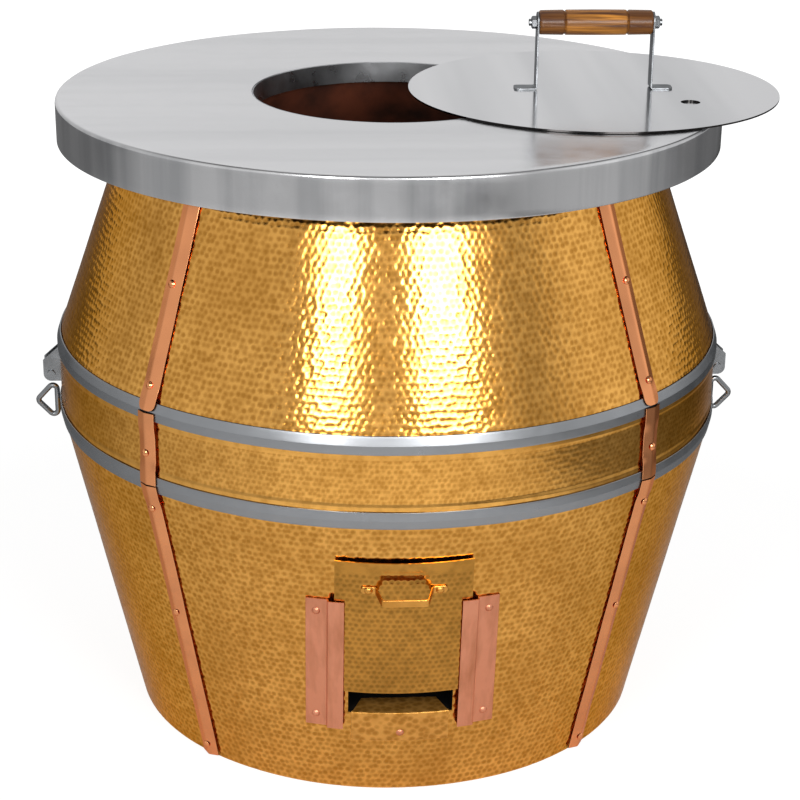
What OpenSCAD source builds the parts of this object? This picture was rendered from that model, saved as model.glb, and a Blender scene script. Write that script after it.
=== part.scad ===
// Free-standing clay tandoor oven in a hammered brass barrel.
// Millimetres. The origin is on the floor, on the axis of the barrel. +Z is up
// and the ash door faces -Y.

/* [Body] */
// Height of the worktop's surface above the floor
overall_h = 736; // [716:1:780]
// Outer diameter of the barrel at its belt
belt_d = 778; // [760:1:800]
// Outer diameter of the barrel at the floor
foot_d = 612; // [596:1:640]
// Outer diameter of the barrel where it meets the deck plate
neck_d = 582; // [560:1:600]
// Height of the fold between the lower shell and the belt
belt_low_z = 370; // [360:1:380]
// Height of the fold between the belt and the upper shell
belt_high_z = 454; // [446:1:466]
// Thickness of the barrel's brass sheet
shell_t = 1.5; // [1:0.1:2]
// Gap left between one sheet and the next
fit = 0.2; // [0.1:0.05:0.3]

/* [Hoops] */
// Thickness of the folded steel hoops
hoop_t = 1.5; // [1:0.1:2]
// Height of each half of a hoop, on either side of its fold
hoop_half = 10; // [7:0.5:13]

/* [Straps] */
// Turn of the front straps from the middle of the door, in degrees
strap_front = 44; // [42:0.5:46]
// Width of a strap
strap_w = 24; // [20:1:30]
// Thickness of the copper strip
strap_t = 1.2; // [0.8:0.1:1.6]
// Height of the fold along a strap's middle
strap_ridge = 2.6; // [1:0.1:4]
// Length of the tapered tip of an upper strap
strap_tip = 9; // [5:0.5:12]
// Distance that an upper strap runs up behind the worktop's skirt
strap_hidden = 22; // [10:1:30]
// Distance of a belt strap's upper end below the fold
belt_strap_drop = 3; // [2:0.5:5]
// Gap between a belt strap and the lower strap under it
strap_joint = 2; // [1:0.5:4]
// Gap between a lower strap and the floor
strap_foot_gap = 2; // [1:0.5:5]

/* [Rivets] */
// Diameter of a rivet's shank
rivet_d = 4; // [3:0.1:5]
// Diameter of a rivet's domed head
rivet_head_d = 9; // [7:0.5:11]
// Height of a rivet's domed head
rivet_head_h = 2.6; // [2:0.1:3]
// Length of shank inside the barrel
rivet_tail = 3; // [2:0.5:5]
// Gap under a rivet's head
rivet_gap = 0.05; // [0.02:0.01:0.1]
// Distance of an upper strap's lower rivet above the fold
upper_rivet_in = 26; // [22:1:32]
// Distance between an upper strap's rivets
upper_rivet_pitch = 104; // [90:1:120]
// Distance of a belt strap's rivet below the middle of the belt
belt_rivet_drop = 5; // [-8:1:8]
// Distance of a lower strap's upper rivet below the fold
lower_rivet_in = 29; // [22:1:34]
// Distance from there down to the next rivet
lower_rivet_pitch = 137; // [120:1:150]
// Height of a strap's lowest rivet above the base plate
foot_rivet_up = 14; // [13:0.5:20]

/* [Worktop] */
// Diameter of the worktop
worktop_d = 760; // [744:1:790]
// Thickness of the worktop's steel sheet
worktop_t = 1.5; // [1:0.1:2]
// Height of the worktop's skirt
skirt_h = 48; // [40:1:56]
// Width of the lip turned in under the skirt
skirt_lip = 12; // [8:1:16]
// Rounding of the worktop's upper edge
worktop_round = 4; // [3:0.5:6]
// Thickness of the steel deck plate under the sheet
deck_t = 3; // [2:0.5:4]
// Width of the rim that the deck plate stops short of
deck_margin = 8; // [6:1:12]
// Number of gussets that carry the deck plate round the barrel
gusset_count = 8; // [8:8:16]
// Height of a gusset
gusset_h = 38; // [30:1:40]
// Thickness of a gusset
gusset_t = 3; // [2:0.5:4]
// Width of a gusset's lower end
gusset_low_w = 4; // [3:0.5:8]
// Height of a gusset's outer end
gusset_nose = 6; // [4:0.5:10]
// Distance that a gusset stops short of the deck plate's rim
gusset_short = 4; // [2:0.5:8]

/* [Mouth] */
// Inner diameter of the steel collar in the mouth
mouth_d = 312; // [300:1:320]
// Depth of the steel collar
collar_h = 24; // [20:1:28]
// Thickness of the collar's steel
collar_t = 1.5; // [1:0.1:2]
// Width of the collar's flange under the worktop's sheet
collar_flange = 28; // [24:1:34]
// Width of the rope seal on the pot's rim
seal_w = 16; // [12:1:20]
// Height of the rope seal
seal_h = 10; // [8:0.5:12]
// Distance of the rope seal from the pot's inner edge
seal_in = 4; // [3:0.5:6]

/* [Clay pot] */
// Thickness of the pot's clay wall
pot_wall = 34; // [28:1:38]
// Inner diameter of the pot at its belly
pot_belly_d = 524; // [500:1:540]
// Inner diameter of the pot at its floor
pot_floor_d = 430; // [410:1:450]
// Height of the belly above the floor that the oven stands on
pot_belly_z = 330; // [310:1:350]
// Height of the joint between the pot's base ring and its belly ring
pot_low_joint = 284; // [280:1:296]
// Height of the joint between the pot's belly ring and its shoulder ring
pot_high_joint = 505; // [470:1:540]
// Gap between the collar and the clay
pot_mouth_gap = 3; // [2:0.5:5]
// Gap left round the pot for the insulation
packing_gap = 0.5; // [0.3:0.1:1]

/* [Base] */
// Thickness of the base plate
base_t = 3; // [2:0.5:5]
// Thickness of the steel angle ring in the foot
base_ring_t = 3; // [2:0.5:4]
// Height of the angle ring
base_ring_h = 36; // [30:1:44]
// Width of the angle ring's level leg
base_ring_w = 30; // [20:1:40]
// Height of the insulation under the hearth
bed_h = 62; // [55:1:66]
// Thickness of the fire-brick hearth
hearth_t = 34; // [30:1:38]
// Diameter of the fire-brick hearth
hearth_d = 510; // [500:1:520]

/* [Grate] */
// Diameter of the charcoal grate
grate_d = 408; // [390:1:412]
// Height of the grate's feet
grate_foot = 36; // [30:1:40]
// Depth of the grate's bars
grate_bar = 8; // [6:0.5:10]
// Thickness of the grate's bars
grate_bar_t = 4; // [3:0.5:5]
// Distance from one bar to the next
grate_pitch = 26; // [20:1:32]
// Radius of the grate's feet
grate_foot_r = 6; // [4:0.5:8]

/* [Ash opening] */
// Width of the opening in the shell
opening_w = 120; // [110:1:124]
// Height of the opening's lower edge
opening_low = 110; // [106:1:114]
// Height of the opening's upper edge
opening_high = 258; // [250:1:262]
// Thickness of the ash duct's sheet
duct_t = 2; // [1.5:0.1:2.5]
// Distance from the axis to the duct's inner end
duct_end = 250; // [244:1:252]
// Gap between the duct and the pot's clay
duct_gap = 1; // [0.5:0.1:2]
// Width of the sill below the opening
sill_w = 108; // [100:1:110]
// Height of the sill's apron
sill_apron = 38; // [34:1:42]
// Depth of the sill's tongue
sill_depth = 34; // [28:1:40]
// Narrowing of the tongue at each side
sill_taper = 12; // [8:1:16]
// Distance of the tongue's edges in from the apron's
sill_step = 1; // [0.5:0.5:3]
// Height of the sill's rivet
sill_rivet_z = 84; // [82:0.5:86]

/* [Ash door] */
// Width of the sliding door
door_w = 148; // [144:1:150]
// Length of the door along the slope
door_l = 180; // [176:1:184]
// Thickness of the door's brass
door_t = 1.5; // [1.2:0.1:2]
// Height of the door's lower edge, as it is left
door_z = 143; // [138:1:150]
// Gap between the shell and the door at the door's middle
door_gap = 3.6; // [3.2:0.1:4]
// Radius to which the door is curved
door_curve = 345; // [340:1:350]
// Clearance between the door and the rails
door_play = 0.7; // [0.6:0.1:1]
// Visible width between the rails
rail_clear = 127; // [125:1:128]
// Width of a rail's raised flange
rail_raised = 18; // [16:0.5:20]
// Width of a rail's riveted flange
rail_flange = 23; // [20:0.5:26]
// Thickness of the copper rails
rail_t = 1.5; // [1.2:0.1:1.8]
// Height of the rails' lower end
rail_low = 90; // [88:0.5:91]
// Height of the rails' upper end
rail_high = 266; // [260:1:272]
// Distance from a rail's end to its rivet
rail_rivet_in = 16; // [13:0.5:20]

/* [Door handle] */
// Width of the handle's brass strip
pull_w = 9; // [7:0.5:12]
// Thickness of the handle's strip
pull_t = 1.6; // [1.2:0.1:2]
// Distance of the handle's bar from the door
pull_out = 23; // [18:1:28]
// Length of the handle's bar
pull_bar = 48; // [40:1:54]
// Distance from one rivet of the handle to the other
pull_rivets = 76; // [72:1:84]
// Distance of the handle below the door's upper edge
pull_down = 35; // [30:1:40]
// Length of the handle's feet beyond and within their rivets
pull_foot = 8; // [6.5:0.5:10]
// Height of the rivets' heads above the middle of the handle's feet
pull_rivet_rise = 0.5; // [0.5:0.1:0.8]
// Length of the rivets' shanks behind the door
pull_rivet_tail = 0.6; // [0.4:0.1:1]

/* [Lifting rings] */
// Height of a lug's cheeks
lug_h = 42; // [38:1:46]
// Distance that a lug stands out from its plate
lug_out = 18; // [16:0.5:22]
// Thickness of a lug's cheeks and plate
lug_t = 3; // [2.5:0.1:3.5]
// Height of the slope at the top of a lug's cheeks
lug_slope = 16; // [12:0.5:20]
// Gap between a lug's cheeks
lug_gap = 13; // [12:0.5:16]
// Height of a lug's lower end
lug_z = 388; // [384:0.5:392]
// Diameter of a lug's pin
pin_d = 6; // [5:0.1:7]
// Distance of the pin from the lug's lower end
pin_up = 9; // [8:0.5:11]
// Thickness of the pin's heads
pin_head_t = 2; // [1.5:0.1:3]
// Distance that the pin's heads stand out round it
pin_head_w = 1.75; // [1:0.25:2.5]
// Clearance round the pin in the lug's cheeks, at each side
pin_seat = 0.05; // [0.02:0.01:0.1]
// Diameter of a ring's rod
ring_rod = 6.5; // [5.5:0.1:7]
// Swelling of a ring's forged corners
ring_swell = 0.3; // [0.2:0.1:0.6]
// Length of a ring's inner side
ring_side = 62; // [56:1:68]
// Distance from a ring's inner side to its outer corner
ring_reach = 24; // [20:1:28]
// Distance of a ring's inner side from the line below its pin
ring_back = 5; // [4:0.5:5.5]
// Clearance round the pin in the ring's eye, at each side
ring_play = 0.06; // [0.04:0.01:0.08]
// Gap between the ring's eye and the lug's plate
eye_back_gap = 0.5; // [0.4:0.1:1]
// Gap between the ring's eye and each cheek
eye_side_gap = 0.8; // [0.5:0.1:1.2]

/* [Lid] */
// Diameter of the lid
lid_d = 426; // [400:1:440]
// Thickness of the lid's plate
lid_t = 2; // [1.5:0.1:3]
// Gap between the lid and the worktop
lid_lift = 0.3; // [0.2:0.05:0.4]
// Distance that the lid stands aside from the mouth's middle
lid_x = 235; // [220:1:250]
// Diameter of the vent in the lid
vent_d = 22; // [16:1:26]
// Distance of the vent from the lid's middle, along the grip
vent_x = 100; // [90:1:110]
// Distance of the vent from the lid's middle, across the grip
vent_y = 74; // [60:1:90]

/* [Lid grip] */
// Length of the wooden grip
grip_l = 130; // [120:1:140]
// Diameter of the wooden grip
grip_d = 29; // [26:0.5:32]
// Width of each turned groove in the grip
grip_groove = 2.4; // [1.5:0.1:3]
// Depth of each turned groove
grip_groove_depth = 1.3; // [0.8:0.1:2]
// Distance from the grip's end to its groove
grip_groove_in = 29; // [24:1:34]
// Size of the eased edge at the grip's ends
grip_ease = 1.5; // [1:0.1:2.5]
// Thinning of the grip from its middle to its ends
grip_taper = 0.7; // [0.2:0.1:1.5]
// Height of the grip's middle above the lid
grip_z = 76; // [70:1:84]
// Gap between the grip's end and its bracket
grip_gap = 0.4; // [0.3:0.1:0.6]
// Clearance round the rod in the grip, at each side
grip_play = 0.08; // [0.05:0.01:0.1]
// Diameter of the rod through the grip
rod_d = 8; // [7:0.5:9]
// Length of the rod beyond each nut
rod_end = 3; // [2:0.5:5]
// Width of the bracket's strip
bracket_w = 20; // [18:1:24]
// Thickness of the bracket's strip
bracket_t = 2; // [1.5:0.1:2.5]
// Length of a bracket's foot
bracket_foot = 26; // [22:1:30]
// Height of the bracket's round top above the rod
bracket_top = 12; // [10:0.5:14]
// Width of the rod's nuts across their flats
nut_w = 13; // [12:0.5:14]
// Thickness of the rod's nuts
nut_h = 6; // [5:0.5:7]

/* [Hidden] */
$fn = 96;

brass = "#c9973f";
copper = "#c97d4f";
steel = "#b9babb";
iron = "#4a4744";
clay = "#a05f43";
firebrick = "#c9a37a";
wool = "#d9d2bd";
rope = "#cfc7b2";
wood = "#8d4f24";

belt_r = belt_d / 2;
foot_r = foot_d / 2;
neck_r = neck_d / 2;
worktop_r = worktop_d / 2;
mouth_r = mouth_d / 2;

// Worktop, from its surface down
sheet_z = overall_h - worktop_t;
deck_z = sheet_z - deck_t;
skirt_z = overall_h - skirt_h;
collar_z = overall_h - collar_h;
flange_z = sheet_z - fit - collar_t;
flange_r = mouth_r + collar_t + collar_flange;
pot_top = flange_z - seal_h;

// Slopes of the two cones, as run over rise
upper_run = (belt_r - neck_r) / (deck_z - belt_high_z);
lower_run = (belt_r - foot_r) / belt_low_z;
upper_lean = atan(upper_run);
lower_lean = atan(lower_run);

// Outer radius of the barrel at a height
function barrel_r(z) =
    z > belt_high_z ? belt_r - upper_run * (z - belt_high_z)
    : z < belt_low_z ? belt_r - lower_run * (belt_low_z - z)
    : belt_r;

// Tilt of the barrel's outward normal below level at a height
function barrel_lean(z) =
    z > belt_high_z ? -upper_lean : z < belt_low_z ? lower_lean : 0;

// Level distance that matches a distance square to each cone
function upper_off(d) = d / cos(upper_lean);
function lower_off(d) = d / cos(lower_lean);

// Pot: the wall's inner radius falls off with the square of the height from the belly
bed_z = base_t + bed_h;
pot_floor = bed_z + hearth_t;
pot_belly_r = pot_belly_d / 2;
pot_floor_r = pot_floor_d / 2;
pot_mouth_r = mouth_r + collar_t + pot_mouth_gap;
pot_steps = 8;
function pot_r(z) =
    z < pot_belly_z
    ? pot_belly_r - (pot_belly_r - pot_floor_r) * pow((pot_belly_z - z) / (pot_belly_z - pot_floor), 2)
    : pot_belly_r - (pot_belly_r - pot_mouth_r) * pow((z - pot_belly_z) / (pot_top - pot_belly_z), 2);
// Heights from a to b in equal steps
function heights(a, b, n) = [for (i = [0 : n]) a + (b - a) * i / n];
// Points of the pot's wall from height a to b, moved out by d
function pot_side(a, b, d) = [for (z = heights(a, b, pot_steps)) [pot_r(z) + d, z]];

// Inner faces of the shells, with their gap
inner_gap = shell_t + fit;
function liner_r(z) =
    barrel_r(z) - (z > belt_high_z ? upper_off(inner_gap)
        : z < belt_low_z ? lower_off(inner_gap) : inner_gap);
belt_mid = (belt_low_z + belt_high_z) / 2;
packing_top = deck_z;
packing_floor = base_t + base_ring_t + packing_gap;

// Straps lie over the hoops
strap_off = hoop_t + 2 * fit;
strap_top = skirt_z + strap_hidden;
strap_turns = [strap_front, 180 - strap_front, 180 + strap_front, -strap_front];
upper_rivets = [belt_high_z + upper_rivet_in + upper_rivet_pitch, belt_high_z + upper_rivet_in];
belt_rivets = [belt_mid - belt_rivet_drop];
foot_rivet_z = base_t + foot_rivet_up;
lower_rivets = [
    belt_low_z - lower_rivet_in,
    belt_low_z - lower_rivet_in - lower_rivet_pitch,
    foot_rivet_z
];
rivet_rows = concat(upper_rivets, belt_rivets, lower_rivets);
rivet_seat = strap_off + strap_ridge + strap_t + rivet_gap;
rivet_hole_l = 2 * (rivet_seat + rivet_head_h + shell_t + rivet_tail);

// Door and rails, measured out from the shell at the opening's middle
door_lean = lower_lean;
rail_inner = rail_clear / 2;
rail_web = rail_inner + rail_raised;
rail_outer = rail_web + rail_flange;
rail_off = door_gap + door_t + door_play;
rail_rivet_x = rail_web + rail_flange / 2;
duct_out_w = opening_w;
duct_in_w = opening_w - 2 * duct_t;

// Lugs and rings
lug_seat = belt_r + fit;
lug_face = lug_seat + lug_t;
pin_r = lug_face + lug_out / 2;
pin_z = lug_z + pin_up;
cheek_mid = (lug_gap + lug_t) / 2;
eye_d = 2 * (lug_out / 2 - eye_back_gap);
eye_w = lug_gap - 2 * eye_side_gap;
ring_joint_d = ring_rod + ring_swell;

// Lid and grip
lid_z = overall_h + lid_lift;
lid_top = lid_z + lid_t;
rod_z = lid_top + grip_z;
bracket_x = grip_l / 2 + grip_gap;
nut_x = bracket_x + bracket_t;
rod_l = 2 * (nut_x + nut_h + rod_end);

sides = [-1, 1];

// ---------------------------------------------------------------- helpers

// A ring whose wall follows the barrel between two heights, d out from its
// surface and t thick. Both heights are on one straight stretch.
module barrel_sheet(low, high, d, t) {
    mid = (low + high) / 2;
    slope = 1 / cos(barrel_lean(mid));
    rotate_extrude()
        polygon([
            [barrel_r_on(mid, low) + d * slope, low],
            [barrel_r_on(mid, low) + (d + t) * slope, low],
            [barrel_r_on(mid, high) + (d + t) * slope, high],
            [barrel_r_on(mid, high) + d * slope, high]
        ]);
}

// Radius at height z of the straight stretch that holds height mid
function barrel_r_on(mid, z) =
    mid > belt_high_z ? belt_r - upper_run * (z - belt_high_z)
    : mid < belt_low_z ? belt_r - lower_run * (belt_low_z - z)
    : belt_r;

// Places children on the barrel: x runs round it, y up it and z out of it
module on_barrel(turn, z) {
    rotate([0, 0, turn])
        translate([0, -barrel_r(z), z])
            rotate([90 + barrel_lean(z), 0, 0])
                children();
}

// Places children at each strap's row of rivets
module at_strap_rivets(rows) {
    for (turn = strap_turns, z = rows)
        on_barrel(turn, z)
            children();
}

// A rivet whose domed head sits at height seat above z = 0
module rivet(seat, tail) {
    dome_r = (pow(rivet_head_d / 2, 2) + pow(rivet_head_h, 2)) / (2 * rivet_head_h);
    translate([0, 0, seat])
        intersection() {
            translate([0, 0, rivet_head_h - dome_r])
                sphere(r = dome_r);
            cylinder(d = rivet_head_d, h = rivet_head_h);
        }
    translate([0, 0, -tail])
        cylinder(d = rivet_d, h = seat + tail + rivet_head_h / 4);
}

// The hole that a rivet passes, through everything near z = 0
module rivet_hole() {
    cylinder(d = rivet_d + 2 * fit, h = rivet_hole_l, center = true);
}

// The front half of the barrel's space between two x and two heights
module door_slab(x0, x1, low, high) {
    translate([x0, -2 * belt_r, low])
        cube([x1 - x0, 2 * belt_r, high - low]);
}

// ---------------------------------------------------------------- barrel

module base_plate() {
    color(iron)
        cylinder(r = foot_r - lower_off(inner_gap), h = base_t);
}

module base_ring() {
    low = base_t;
    high = base_t + base_ring_h;
    t = base_ring_t;
    color(iron)
        difference() {
            rotate_extrude()
                polygon([
                    [liner_r(low) - base_ring_w, low],
                    [liner_r(low), low],
                    [liner_r(high), high],
                    [liner_r(high) - t, high],
                    [liner_r(low + t) - t, low + t],
                    [liner_r(low) - base_ring_w, low + t]
                ]);
            at_strap_rivets([foot_rivet_z])
                rivet_hole();
        }
}

module lower_shell() {
    color(brass)
        difference() {
            barrel_sheet(0, belt_low_z, -shell_t, shell_t);
            door_slab(-opening_w / 2 + duct_t, opening_w / 2 - duct_t,
                opening_low, opening_high);
            at_strap_rivets(lower_rivets)
                rivet_hole();
            at_door_rivets()
                rivet_hole();
        }
}

module belt() {
    color(brass)
        difference() {
            barrel_sheet(belt_low_z + fit, belt_high_z - fit, -shell_t, shell_t);
            at_strap_rivets(belt_rivets)
                rivet_hole();
        }
}

module upper_shell() {
    color(brass)
        difference() {
            barrel_sheet(belt_high_z, deck_z, -shell_t, shell_t);
            at_strap_rivets(upper_rivets)
                rivet_hole();
        }
}

// A hoop is folded along the edge of the belt: one half lies on the belt and
// the other half on the cone
module hoop(fold, belt_side, cone_off) {
    cone = fold - belt_side * hoop_half;
    flat = fold + belt_side * hoop_half;
    a = fit;
    b = fit + hoop_t;
    color(steel)
        rotate_extrude()
            polygon([
                [belt_r + a, flat],
                [belt_r + b, flat],
                [belt_r + b, fold],
                [barrel_r(cone) + cone_off * b, cone],
                [barrel_r(cone) + cone_off * a, cone],
                [belt_r + a, fold]
            ]);
}

module lower_hoop() {
    hoop(belt_low_z, 1, 1 / cos(lower_lean));
}

module upper_hoop() {
    hoop(belt_high_z, -1, 1 / cos(upper_lean));
}

// A strip of copper folded along its middle. It runs down from y = 0 for a
// length, and its inner edges lie at height off above z = 0.
module strap_strip(length, off) {
    half = strap_w / 2;
    rotate([90, 0, 0])
        linear_extrude(length)
            polygon([
                [-half, off],
                [0, off + strap_ridge],
                [half, off],
                [half, off + strap_t],
                [0, off + strap_ridge + strap_t],
                [-half, off + strap_t]
            ]);
}

module upper_strap(i) {
    length = (strap_top - belt_high_z - fit) / cos(upper_lean);
    half = strap_w / 2;
    color(copper)
        difference() {
            on_barrel(strap_turns[i], strap_top)
                intersection() {
                    strap_strip(length, strap_off);
                    translate([0, 0, -1])
                        linear_extrude(2 * half)
                            polygon([
                                [-half - 1, 1],
                                [half + 1, 1],
                                [half + 1, strap_tip - length],
                                [half / 2, -length],
                                [-half / 2, -length],
                                [-half - 1, strap_tip - length]
                            ]);
                }
            at_strap_rivets(upper_rivets)
                rivet_hole();
        }
}

module belt_strap(i) {
    top = belt_high_z - belt_strap_drop;
    length = top - belt_low_z - strap_joint / 2;
    color(copper)
        difference() {
            on_barrel(strap_turns[i], top)
                strap_strip(length, strap_off);
            at_strap_rivets(belt_rivets)
                rivet_hole();
        }
}

module lower_strap(i) {
    top = belt_low_z - strap_joint / 2;
    length = (top - strap_foot_gap) / cos(lower_lean);
    color(copper)
        difference() {
            on_barrel(strap_turns[i], top)
                strap_strip(length, strap_off);
            at_strap_rivets(lower_rivets)
                rivet_hole();
        }
}

module strap_rivets() {
    color(copper)
        at_strap_rivets(rivet_rows)
            rivet(rivet_seat, shell_t + rivet_tail);
}

// ---------------------------------------------------------------- worktop

module worktop() {
    r = worktop_round;
    t = worktop_t;
    color(steel)
        rotate_extrude()
            polygon(concat(
                [[mouth_r + collar_t + fit, sheet_z], [mouth_r + collar_t + fit, overall_h]],
                [for (a = [90 : -15 : 0]) [worktop_r - r + r * cos(a), overall_h - r + r * sin(a)]],
                [[worktop_r, skirt_z],
                 [worktop_r - skirt_lip, skirt_z],
                 [worktop_r - skirt_lip, skirt_z + t],
                 [worktop_r - t, skirt_z + t]],
                [for (a = [0 : 15 : 90])
                    [worktop_r - r + (r - t) * cos(a), overall_h - r + (r - t) * sin(a)]]
            ));
}

module deck_plate() {
    color(iron)
        translate([0, 0, deck_z])
            difference() {
                cylinder(r = worktop_r - deck_margin, h = deck_t);
                translate([0, 0, -1])
                    cylinder(r = flange_r + fit, h = deck_t + 2);
            }
}

module deck_gussets() {
    reach = worktop_r - deck_margin - gusset_short;
    low = deck_z - gusset_h;
    color(iron)
        for (i = [0 : gusset_count - 1])
            rotate([0, 0, (i + 0.5) * 360 / gusset_count])
                translate([0, gusset_t / 2, 0])
                    rotate([90, 0, 0])
                        linear_extrude(gusset_t)
                            polygon([
                                [barrel_r(deck_z) + upper_off(fit), deck_z],
                                [barrel_r(low) + upper_off(fit), low],
                                [barrel_r(low) + upper_off(fit) + gusset_low_w, low],
                                [reach, deck_z - gusset_nose],
                                [reach, deck_z]
                            ]);
}

module mouth_collar() {
    t = collar_t;
    color(steel)
        rotate_extrude()
            polygon([
                [mouth_r, collar_z],
                [mouth_r + t, collar_z],
                [mouth_r + t, flange_z],
                [flange_r, flange_z],
                [flange_r, flange_z + t],
                [mouth_r + t, flange_z + t],
                [mouth_r + t, overall_h - t / 2],
                [mouth_r + t / 2, overall_h],
                [mouth_r, overall_h - t / 2]
            ]);
}

module mouth_seal() {
    inner = pot_mouth_r + seal_in;
    color(rope)
        translate([0, 0, pot_top])
            difference() {
                cylinder(r = inner + seal_w, h = seal_h);
                translate([0, 0, -1])
                    cylinder(r = inner, h = seal_h + 2);
            }
}

// ---------------------------------------------------------------- hearth

// Fired ring of the pot from height a to b
module pot_ring(a, b) {
    rotate_extrude()
        polygon(concat(pot_side(a, b, 0), pot_side(b, a, pot_wall)));
}

module clay_pot_base() {
    cut = duct_out_w + 2 * duct_gap;
    color(clay)
        difference() {
            pot_ring(pot_floor, pot_low_joint);
            translate([-cut / 2, -pot_belly_r - 2 * pot_wall, opening_low - duct_t - duct_gap])
                cube([cut, pot_belly_r, opening_high - opening_low + 2 * (duct_t + duct_gap)]);
        }
}

module clay_pot_belly() {
    color(clay)
        pot_ring(pot_low_joint, pot_high_joint);
}

module clay_pot_shoulder() {
    color(clay)
        pot_ring(pot_high_joint, pot_top);
}

module hearth_slab() {
    color(firebrick)
        translate([0, 0, bed_z])
            cylinder(d = hearth_d, h = hearth_t);
}

module charcoal_grate() {
    r = grate_d / 2;
    rows = floor((r - 1.5 * grate_bar) / grate_pitch);
    color(iron)
        translate([0, 0, pot_floor + grate_foot]) {
            difference() {
                cylinder(r = r, h = grate_bar);
                translate([0, 0, -1])
                    cylinder(r = r - grate_bar, h = grate_bar + 2);
            }
            for (i = [-rows : rows])
                let (chord = 2 * sqrt(r * r - pow(i * grate_pitch, 2)) - grate_bar)
                    translate([i * grate_pitch - grate_bar_t / 2, -chord / 2, grate_bar / 16])
                        cube([grate_bar_t, chord, grate_bar * 7 / 8]);
        }
}

// No foot stands in the way from the ash opening
module grate_feet() {
    color(iron)
        for (a = [90, 210, 330])
            rotate([0, 0, a])
                translate([grate_d / 2 - grate_foot_r - grate_bar / 4, 0, pot_floor])
                    cylinder(r = grate_foot_r, h = grate_foot);
}

// Clear space for the ash duct through the insulation
module duct_space() {
    w = duct_out_w + 2 * packing_gap;
    translate([-w / 2, -belt_r, opening_low - duct_t - packing_gap])
        cube([w, belt_r - pot_floor_r, opening_high - opening_low + 2 * (duct_t + packing_gap)]);
}

module insulation_lower() {
    g = packing_gap;
    ring_top = base_t + base_ring_h + g;
    color(wool)
        difference() {
            rotate_extrude()
                polygon(concat(
                    [[0, packing_floor],
                     [liner_r(packing_floor) - base_ring_t - g, packing_floor],
                     [liner_r(ring_top) - base_ring_t - g, ring_top],
                     [liner_r(ring_top) - g, ring_top],
                     [belt_r - inner_gap - g, belt_low_z],
                     [belt_r - inner_gap - g, belt_mid]],
                    pot_side(belt_mid, pot_belly_z, pot_wall + g),
                    pot_side(pot_belly_z, pot_floor + g, pot_wall + g),
                    [[hearth_d / 2 + g, pot_floor],
                     [hearth_d / 2 + g, bed_z],
                     [0, bed_z]]
                ));
            duct_space();
            at_strap_rivets(concat(belt_rivets, lower_rivets))
                rivet_hole();
            at_door_rivets()
                rivet_hole();
        }
}

module insulation_upper() {
    g = packing_gap;
    color(wool)
        difference() {
            rotate_extrude()
                polygon(concat(
                    [[belt_r - inner_gap - g, belt_mid],
                     [belt_r - inner_gap - g, belt_high_z],
                     [liner_r(packing_top) - g, packing_top]],
                    [[flange_r + g, packing_top],
                     [flange_r + g, pot_top + g]],
                    pot_side(pot_top, belt_mid, pot_wall + g)
                ));
            at_strap_rivets(concat(upper_rivets, belt_rivets))
                rivet_hole();
        }
}

// ---------------------------------------------------------------- ash opening

module ash_duct() {
    h = opening_high - opening_low;
    color(iron)
        intersection() {
            difference() {
                translate([-duct_out_w / 2, -belt_r, opening_low - duct_t])
                    cube([duct_out_w, belt_r - duct_end, h + 2 * duct_t]);
                translate([-duct_in_w / 2, -belt_r - 1, opening_low])
                    cube([duct_in_w, belt_r, h]);
            }
            // The duct's front end follows the inside of the shell
            rotate_extrude()
                polygon([
                    [0, 0],
                    [liner_r(0), 0],
                    [belt_r - lower_off(inner_gap), belt_low_z],
                    [0, belt_low_z]
                ]);
        }
}

// The sill is a brass tongue on the duct's floor with an apron down the shell.
// The tongue narrows inwards.
module ash_sill() {
    half = sill_w / 2;
    floor_z = opening_low + fit;
    front = barrel_r(opening_low) - half * half / barrel_r(opening_low) / 2;
    back = barrel_r(opening_low) - sill_depth;
    color(brass)
        difference() {
            union() {
                intersection() {
                    barrel_sheet(opening_low - sill_apron, floor_z + shell_t, fit, shell_t);
                    door_slab(-half, half, 0, belt_low_z);
                }
                intersection() {
                    barrel_sheet(floor_z, floor_z + shell_t, -2 * sill_depth,
                        2 * sill_depth + fit + shell_t / 2);
                    linear_extrude(belt_low_z)
                        polygon([
                            [sill_step - half, -belt_r],
                            [half - sill_step, -belt_r],
                            [half - sill_step, -front],
                            [half - sill_taper, -back],
                            [sill_taper - half, -back],
                            [sill_step - half, -front]
                        ]);
                }
            }
            at_door_rivets()
                rivet_hole();
        }
}

// A rail is bent to a Z: one flange is riveted to the shell and the other
// stands over the edge of the door. A tab at its foot stops the door.
module door_rail(side) {
    inner = rail_inner;
    web = rail_web;
    outer = rail_outer;
    color(copper)
        difference() {
            mirror([side > 0 ? 0 : 1, 0, 0]) {
                intersection() {
                    barrel_sheet(rail_low, rail_high, fit, rail_t);
                    door_slab(web - rail_t, outer, rail_low, rail_high);
                }
                intersection() {
                    barrel_sheet(rail_low, rail_high, rail_off, rail_t);
                    door_slab(inner, web, rail_low, rail_high);
                }
                intersection() {
                    barrel_sheet(rail_low, rail_high, fit, rail_off + rail_t - fit);
                    door_slab(web - rail_t, web, rail_low, rail_high);
                }
                intersection() {
                    barrel_sheet(rail_low, rail_low + rail_t, fit, rail_off + rail_t - fit);
                    door_slab(inner, web, rail_low, rail_high);
                }
            }
            at_door_rivets()
                rivet_hole();
        }
}

// Angle round the barrel at which height z lies x to one side of the door's middle
function turn_at(x, z) = asin(x / barrel_r(z));

// Places children at the rivets of the rails and of the sill
module at_door_rivets() {
    for (side = sides, z = [rail_low + rail_rivet_in, rail_high - rail_rivet_in])
        on_barrel(side * turn_at(rail_rivet_x, z), z)
            children();
    on_barrel(0, sill_rivet_z)
        children();
}

module door_rivets() {
    color(copper)
        at_door_rivets()
            rivet(fit + rail_t + rivet_gap, shell_t + rivet_tail);
}

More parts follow.
